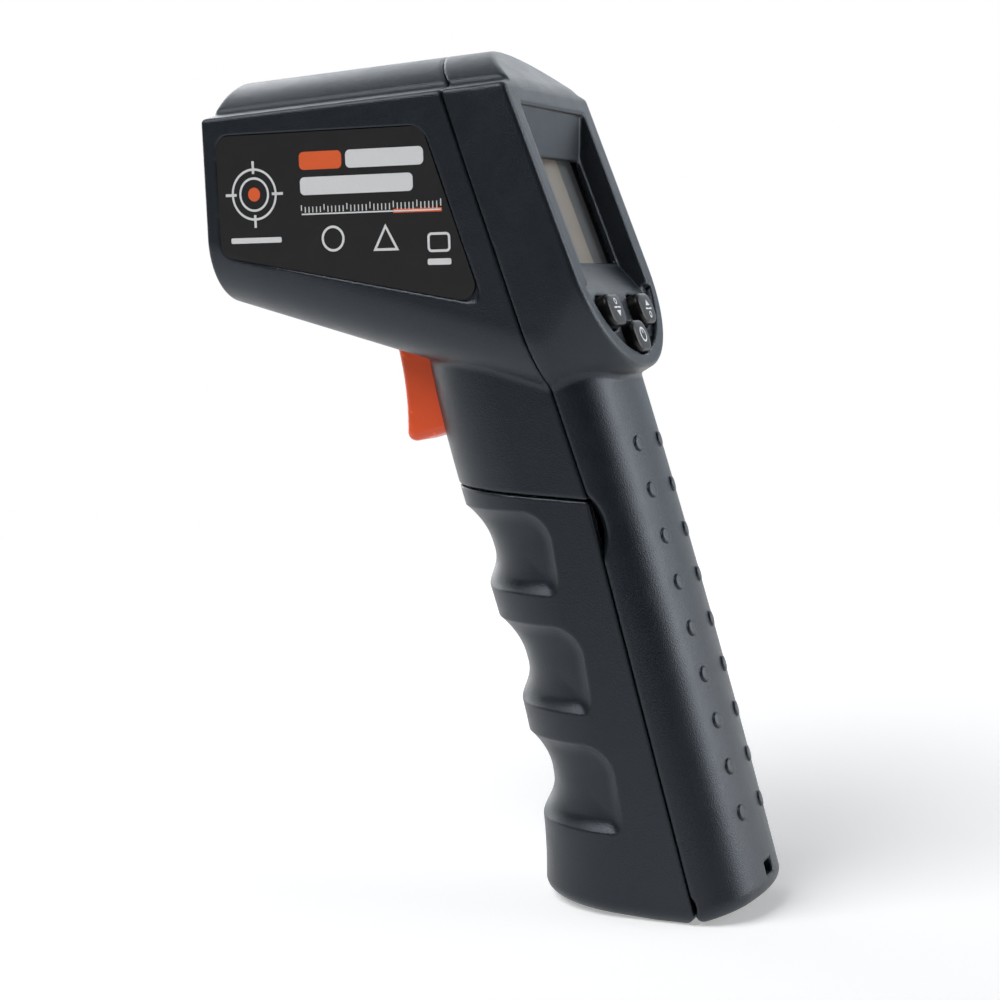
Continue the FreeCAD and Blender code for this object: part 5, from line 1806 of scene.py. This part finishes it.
# ------------------------------------------------------------------ label print
@dataclass
class LabelPrint:
    """Plain graphics on a side label: a sight mark, bars, a scale with ticks and three signs."""

    side: int
    name: str
    origin: tuple[float, float] = (-56.0, 128.6)
    sight: tuple[float, float] = (-13.3, 1.4)
    scale_start: float = -3.6
    scale_long: float = 27.8
    scale_steps: int = 36

    def lift(self, u: float, v: float, n: float) -> Point:
        """A point on the flank: u runs to the rear, v upwards."""
        x, z = self.origin[0] + u, self.origin[1] + v
        return (x, self.side * (float(BODY.flank(x, z)) + 0.004 + n), z)

    @staticmethod
    def rounded(width: float, height: float, radius: float) -> list[tuple[float, float]]:
        """The outline of a rounded rectangle.

        Args:
            width: Its width.
            height: Its height.
            radius: The radius of its corners.

        Returns:
            Its points.
        """
        points = []
        for quarter, (su, sv) in enumerate(((1, 1), (-1, 1), (-1, -1), (1, -1))):
            centre = (su * (width / 2 - radius), sv * (height / 2 - radius))
            for u, v in arc(radius, 90 * quarter, 90 * quarter + 90, 6):
                points.append((centre[0] + u, centre[1] + v))
        return points

    def bar(self, marks: Print, u: float, v: float, width: float, height: float) -> None:
        """Adds a bar with rounded ends."""
        outline = self.rounded(width, height, height * 0.28)
        marks.add((outline, [tuple(range(len(outline)))]), (u, v))

    def build(self, stamper: Stamper, pale: bpy.types.Material, warm: bpy.types.Material,
              slot: str) -> None:
        """Makes the print in its two inks and the scale's ticks.

        Args:
            stamper: Sets copies of a prototype on points.
            pale: The pale ink.
            warm: The orange ink.
            slot: The label's material slot.
        """
        grey, orange = Print(), Print()
        for radius, width in ((4.5, 0.42), (2.9, 0.42)):
            grey.add(ribbon(arc(radius, 0, 356, 89), width, True), self.sight)
        for turn in range(0, 360, 90):
            c, s = math.cos(math.radians(turn)), math.sin(math.radians(turn))
            grey.add(ribbon([(3.7 * c, 3.7 * s), (6.0 * c, 6.0 * s)], 0.5, False), self.sight)
        dot = arc(1.25, 0, 350, 35)
        orange.add((dot, [tuple(range(len(dot)))]), self.sight)
        self.bar(grey, -13.3, -6.9, 10.6, 1.0)
        self.bar(orange, 0.6, 7.0, 8.6, 3.2)
        self.bar(grey, 13.4, 7.0, 15.4, 3.2)
        self.bar(grey, 7.6, 2.5, 22.6, 3.2)
        steps = [self.scale_start + self.scale_long * k / self.scale_steps
                 for k in range(self.scale_steps + 1)]
        grey.add(ribbon([(u, -2.5) for u in steps], 0.26, False))
        self.bar(orange, 19.6, -2.5, 9.6, 0.7)
        grey.add(ribbon(arc(2.1, 0, 352.5, 47), 0.45, True), (2.6, -7.0))
        sign = [(0.0, 2.5), (-2.2, -1.6), (2.2, -1.6)]
        grey.add(ribbon(sign, 0.45, True), (13.2, -7.6))
        grey.add(ribbon(self.rounded(4.0, 3.0, 0.6), 0.45, True), (23.6, -8.2))
        self.bar(grey, 23.6, -11.6, 4.6, 1.1)
        for marks, ink, colour in ((grey, pale, "pale"), (orange, warm, "warm")):
            made = marks.build(f"print_{self.name}_{colour}", self.lift, 0.016, ink)
            fasten(made, "housing", slot)
        ticks, facings = [], []
        for k, u in enumerate(steps):
            ticks.append(self.lift(u, -1.6 if k % 6 else -1.25, 0.0))
            facings.append((0.0, float(self.side), 0.0))
        mark = mesh_piece("tick_prototype", *self.tick_block(), pale, smooth=False)
        made = stamper.stamp(f"print_{self.name}_ticks", mark, ticks, facings, pale)
        fasten(made, "housing", slot)

    @staticmethod
    def tick_block() -> tuple[list, list]:
        """A tiny upright plate, centred, its own z axis out of the label.

        Returns:
            Points and faces.
        """
        u, v, n = 0.10, 0.62, 0.016
        points = [(su * u, sv * v, sn * n) for sn in (-1, 1) for sv in (-1, 1) for su in (-1, 1)]
        faces = [(0, 2, 3, 1), (4, 5, 7, 6), (0, 1, 5, 4), (2, 6, 7, 3), (0, 4, 6, 2), (1, 3, 7, 5)]
        return points, faces


# ------------------------------------------------------------------ battery
@dataclass
class Battery:
    """A nine-volt block: rounded jacket, rolled rims and two snap terminals."""

    at: Point = (3.1, 0.0, 9.1)
    lean: float = 0.284
    width: float = 26.0
    depth: float = 17.0
    length: float = 46.4
    spacing: float = 12.7

    def lift(self, u: float, v: float, w: float) -> Point:
        """A point in the battery's own axes, w along the handle.

        Args:
            u: Across the battery, to the rear.
            v: To the side.
            w: Along the battery.

        Returns:
            The point, in millimetres.
        """
        size = math.hypot(1.0, self.lean)
        return (self.at[0] + (u - w * self.lean) / size, self.at[1] + v,
                self.at[2] + (w + u * self.lean) / size)

    def ring(self, inset: float, w: float) -> list[Point]:
        """A rounded rectangle round the battery.

        Args:
            inset: How far it is moved inwards.
            w: Its place along the battery.

        Returns:
            Its points.
        """
        flat = LabelPrint.rounded(self.width - 2 * inset, self.depth - 2 * inset,
                                  max(2.4 - inset, 0.4))
        return [self.lift(u, v, w) for u, v in flat]

    def build(self, jacket: bpy.types.Material, metal: bpy.types.Material) -> None:
        """Makes the jacket and the terminals.

        Args:
            jacket: The jacket's material.
            metal: The metal's material.
        """
        top = self.length
        levels = [(1.2, 0.0), (0.5, 0.0), (0.1, 0.25), (0.0, 0.7), (0.0, 1.1), (0.22, 1.3),
                  (0.22, top - 1.3), (0.0, top - 1.1), (0.0, top - 0.6), (0.15, top - 0.15),
                  (0.5, top), (0.9, top), (1.1, top - 0.5)]
        points = [point for inset, w in levels for point in self.ring(inset, w)]
        rows = len(levels)
        count = len(points) // rows
        faces = ring_faces(rows, count) + end_faces(rows, count)
        made = mesh_piece("battery_jacket", points, faces, jacket)
        recalculate(made)
        made.data.set_sharp_from_angle(angle=math.radians(40))
        fasten(made, "housing", "battery_case", "battery")
        stud = [(0, -1.0), (2.5, -1.0), (2.5, 0.4), (2.7, 0.9), (3.0, 1.5), (2.9, 2.0), (2.4, 2.1),
                (0, 2.1)]
        socket = [(0, -1.0), (3.5, -1.0), (3.5, 0.2), (3.8, 0.9), (3.85, 1.6), (3.5, 2.05),
                  (3.1, 2.1), (2.8, 1.6), (2.7, 0.5), (0, 0.5)]
        for name, profile, u in (("stud", stud, -self.spacing / 2),
                                 ("socket", socket, self.spacing / 2)):
            terminal = lathe(f"battery_{name}", profile, 32, metal)
            turn = Matrix.Rotation(-math.atan(self.lean), 4, "Y")
            place = Vector(self.lift(u, 0.0, top)) * MM
            terminal.data.transform(Matrix.Translation(place) @ turn)
            terminal.data.set_sharp_from_angle(angle=math.radians(40))
            fasten(terminal, "housing", "can_metal")


# ------------------------------------------------------------------ return spring
@dataclass
class ReturnSpring:
    """The trigger's compression spring, with closer end coils."""

    turns: int = 5
    wire: float = 0.25
    steps: int = 40
    sides: int = 10
    closing: float = 0.1
    keep: float = 0.9

    def build(self, metal: bpy.types.Material) -> None:
        """Makes the spring where the CAD's one stands.

        Args:
            metal: The metal's material.
        """
        low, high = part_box("trigger_spring")
        x, y = (low.x + high.x) / 2 / MM, (low.y + high.y) / 2 / MM
        radius = (high.x - low.x) / 2 / MM - self.wire
        foot, rise = low.z / MM + self.wire, (high.z - low.z) / MM - 2 * self.wire
        points = []
        count, sides = self.turns * self.steps + 1, self.sides
        for k in range(count):
            share = k / (count - 1)
            turn = 2 * math.pi * self.turns * share
            z = foot + rise * (share - self.closing * math.sin(2 * math.pi * share))
            for side in range(sides):
                angle = 2 * math.pi * side / sides
                out = radius + self.wire * math.cos(angle)
                points.append((x + out * math.cos(turn), y + out * math.sin(turn),
                               z + self.wire * math.sin(angle)))
        faces = ring_faces(count, sides) + end_faces(count, sides)
        made = mesh_piece("return_spring", points, faces, metal)
        recalculate(made)
        fasten(made, "housing", "steel", "trigger_spring")
        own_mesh(made)


# ------------------------------------------------------------------ board screws
@dataclass
class BoardScrews:
    """Four pan-head screws, seen only with the shell open."""

    places: tuple = ((4.4, -13.0), (4.4, 13.0), (35.2, -12.8), (35.2, 12.8))
    head: float = 2.1
    under: float = -11.5

    def build(self, stamper: Stamper, metal: bpy.types.Material) -> None:
        """Makes the screws as one piece.

        Args:
            stamper: Sets copies of a prototype on points.
            metal: The metal's material.
        """
        size = math.hypot(1.0, BODY.face_slope)
        out = (1.0 / size, 0.0, BODY.face_slope / size)
        down = (BODY.face_slope / size, -1.0 / size)
        points, facings = [], []
        for s, y in self.places:
            n = self.under
            points.append((BODY.face_point[0] + s * down[0] + n * out[0], y,
                           BODY.face_point[1] + s * down[1] + n * out[2]))
            facings.append(out)
        h = self.head
        profile = [(0, -0.75), (0.5, -0.8), (0.75, -1.2), (h - 0.6, -1.2), (h - 0.15, -0.95),
                   (h, -0.5), (h, 0.0), (1.05, 0.0)]
        thread = []
        for turn in range(9):
            w = 0.2 + turn * 0.68
            thread += [(0.85, w), (1.08, w + 0.34)]
        screw = lathe("screw_prototype", profile + thread + [(0.6, 6.5), (0, 6.6)], 24, metal)
        made = stamper.stamp("board_screw_set", screw, points, facings, metal)
        fasten(made, "housing", "screw_steel", "board_screws")


# ------------------------------------------------------------------ finishes of the other nodes
NODE_FINISHES = {
    "steel": ("door_hinge_pin", "trigger_pin", "trigger_spring"),
    "zinc": ("side_screws", "board_screws"),
    "film": ("label_left", "label_right"),
    "black": ("nose_plate", "sensor_horn", "sensor_holder", "trigger_switch", "buzzer",
              "battery_snap", "board_components"),
    "optic": ("infrared_lens",),
    "can": ("thermopile_sensor",),
    "board": ("sensor_board", "laser_board", "main_board"),
    "brass": ("laser_barrel",),
    "clear": ("laser_lens", "display_window"),
    "orange": ("trigger",),
    "white": ("switch_plunger", "backlight_panel"),
    "cell": ("lcd_glass",),
    "pink": ("contact_strips",),
    "rubber": ("keypad_mat", "key_left", "key_right", "key_mode"),
    "carbon": ("key_contact_left", "key_contact_right", "key_contact_mode"),
    "jacket": ("battery",),
    "black_wire": ("battery_lead_black",),
    "red_wire": ("battery_lead_red",),
    "shell": ("front_shell", "rear_shell", "battery_door"),
}


class Finishes:
    """Every finish of the object, made once and found by a short name."""

    def __init__(self) -> None:
        """Makes the finishes."""
        table = {
            "shell": MouldedPlastic("dark_moulding", (0.0050, 0.0070, 0.0094), 0.375, 0.28, 0.04),
            "black": MouldedPlastic("black_moulding", (0.006, 0.006, 0.0065), 0.4),
            "orange": MouldedPlastic("orange_moulding", (0.83, 0.088, 0.010), 0.40, 0.2, 0.006,
                        0.06),
            "rubber": SoftRubber("key_silicone", (0.0030, 0.0030, 0.0034), 0.27),
            "pink": SoftRubber("strip_silicone", (0.42, 0.16, 0.2), 0.5),
            "carbon": SoftRubber("carbon_pill", (0.012, 0.012, 0.012), 0.6),
            "red_wire": SoftRubber("red_insulation", (0.42, 0.012, 0.010), 0.35),
            "black_wire": SoftRubber("black_insulation", (0.01, 0.01, 0.01), 0.35),
            "film": LabelFilm("label_film"),
            "pale_ink": Ink("pale_ink", (0.74, 0.75, 0.76)),
            "warm_ink": Ink("warm_ink", (0.80, 0.115, 0.02)),
            "steel": TurnedMetal("pin_steel", (0.60, 0.60, 0.62)),
            "zinc": TurnedMetal("zinc_plate", (0.52, 0.53, 0.56), 0.34),
            "brass": TurnedMetal("turned_brass", (0.76, 0.54, 0.22), 0.25),
            "can": TurnedMetal("nickel_can", (0.74, 0.72, 0.68), 0.18),
            "board": CircuitBoard("circuit_board"),
            "white": MouldedPlastic("light_guide", (0.76, 0.76, 0.72), 0.35, 0.2, 0.003, 0.04),
            "clear": ClearSheet("clear_window"),
            "optic": CoatedOptic("infrared_coating"),
            "jacket": BatteryJacket("battery_jacket", 0.040),
            "cell": DisplayCell("display_cell", *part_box("lcd_glass")),
        }
        self.made = {key: finish.build() for key, finish in table.items()}

    def __getitem__(self, key: str) -> bpy.types.Material:
        """The material with this short name."""
        return self.made[key]

    def dress_nodes(self) -> None:
        """Gives every carried-over CAD node its finish."""
        for key, nodes in NODE_FINISHES.items():
            for node in nodes:
                dress_node(node, self[key])


# ------------------------------------------------------------------ studio
@dataclass
class Studio:
    """Pale floor, soft panels of light and the camera."""

    eye: Point = (121.77, -348.88, 111.70)
    azimuth: float = 23.594
    elevation: float = 5.83
    roll: float = -1.135
    lens: float = 73.79
    dim: Colour = (0.012, 0.013, 0.015)
    bright: Colour = (0.80, 0.90, 1.0)
    floor_radius: float = 3400.0
    floor_shift: float = 2.65

    def floor(self) -> None:
        """Makes the floor as a wide, thin disc."""
        wide = self.floor_radius
        profile = [(0, -8.0), (wide, -8.0), (wide, -0.02), (0, -0.02)]
        made = lathe("studio_floor", profile, 96, StudioFloor("studio_floor").build())
        made.data.transform(Matrix.Translation((0.0, self.floor_shift, 0.0)))

    def camera(self) -> None:
        """Makes the camera at the chosen viewpoint."""
        data = bpy.data.cameras.new("viewpoint")
        data.lens, data.sensor_width = self.lens, 36.0
        data.clip_start, data.clip_end = 0.01, 20.0
        made = add_object("viewpoint", data)
        az, el, roll = (math.radians(v) for v in (self.azimuth, self.elevation, self.roll))
        back = Vector((math.cos(el) * math.sin(az), -math.cos(el) * math.cos(az), math.sin(el)))
        right = Vector((math.cos(az), math.sin(az), 0.0))
        up = back.cross(right)
        right, up = (right * math.cos(roll) + up * math.sin(roll),
                     up * math.cos(roll) - right * math.sin(roll))
        turn = Matrix((right, up, back)).transposed().to_4x4()
        made.matrix_world = Matrix.Translation(Vector(self.eye) * MM) @ turn
        bpy.context.scene.camera = made

    @staticmethod
    def panel(name: str, at: Point, to: Point, size: tuple[float, float], power: float) -> None:
        """Makes a soft rectangular light that points at a place, in metres.

        Args:
            name: The name of the object.
            at: Where it hangs.
            to: What it points at.
            size: Its width and height.
            power: Its power in watts.
        """
        data = bpy.data.lights.new(name, "AREA")
        data.shape, data.size, data.size_y, data.energy = "RECTANGLE", size[0], size[1], power
        way = Vector(to) - Vector(at)
        turn = way.to_track_quat("-Z", "Y").to_matrix().to_4x4()
        add_object(name, data).matrix_world = Matrix.Translation(Vector(at)) @ turn

    def lights(self) -> None:
        """Hangs panels far and high, high in front, behind the right and low on the left."""
        self.panel("far_high", (-0.35, 0.95, 0.62), (-0.02, 0.0, 0.10), (1.2, 0.5), 2.5)
        self.panel("key", (-0.40, -0.62, 0.95), (0.0, 0.0, 0.09), (0.8, 0.7), 9.5)
        self.panel("rear_right", (0.85, 0.35, 0.30), (0.0, 0.0, 0.08), (0.7, 0.9), 8.0)
        self.panel("left_back", (-0.75, 0.45, 0.35), (-0.03, 0.0, 0.10), (0.6, 0.8), 4.0)

    def world(self) -> None:
        """Makes a pale surround that is dim on the side of the room."""
        world = bpy.data.worlds.new("studio_surround")
        world.use_nodes = True
        graph = Graph(world.node_tree)
        _, y, z = graph.axes("Generated")
        light = (y + z * 0.12).ramp(-0.1, 0.85)
        tone = graph.blend(light, rgba(self.dim), rgba(self.bright))
        around = graph.node("ShaderNodeBackground", {}, {"Color": tone, "Strength": 0.8})
        seen = graph.node("ShaderNodeBackground", {}, {"Color": rgba(WHITE), "Strength": 1.0})
        direct = graph.node("ShaderNodeLightPath", {}, {}, "Is Camera Ray")
        mixed = graph.node("ShaderNodeMixShader", {}, {0: direct, 1: around, 2: seen})
        graph.node("ShaderNodeOutputWorld", {}, {"Surface": mixed})
        bpy.context.scene.world = world

    def build(self) -> None:
        """Sets up the whole studio."""
        self.floor()
        self.camera()
        self.lights()
        self.world()
        bpy.context.scene.view_settings.view_transform = "Standard"


def main() -> None:
    """Builds the object and the studio."""
    logging.basicConfig(level=logging.INFO, format="%(name)s: %(message)s")
    Studio().build()
    finishes = Finishes()
    finishes.dress_nodes()
    stamper = Stamper()
    FrontShell().build(finishes["shell"])
    RearShell().build(finishes["shell"])
    BatteryDoor().build(finishes["shell"])
    Trigger().build(finishes["orange"])
    GripDots().build(stamper, finishes["shell"])
    for key in KEYS:
        key.build(finishes["rubber"], finishes["pale_ink"])
    for side, name in ((-1, "left"), (1, "right")):
        LabelPrint(side, name).build(stamper, finishes["pale_ink"], finishes["warm_ink"], "label")
    Battery().build(finishes["jacket"], finishes["can"])
    BoardScrews().build(stamper, finishes["zinc"])
    ReturnSpring().build(finishes["steel"])


if __name__ == "__main__":
    main()
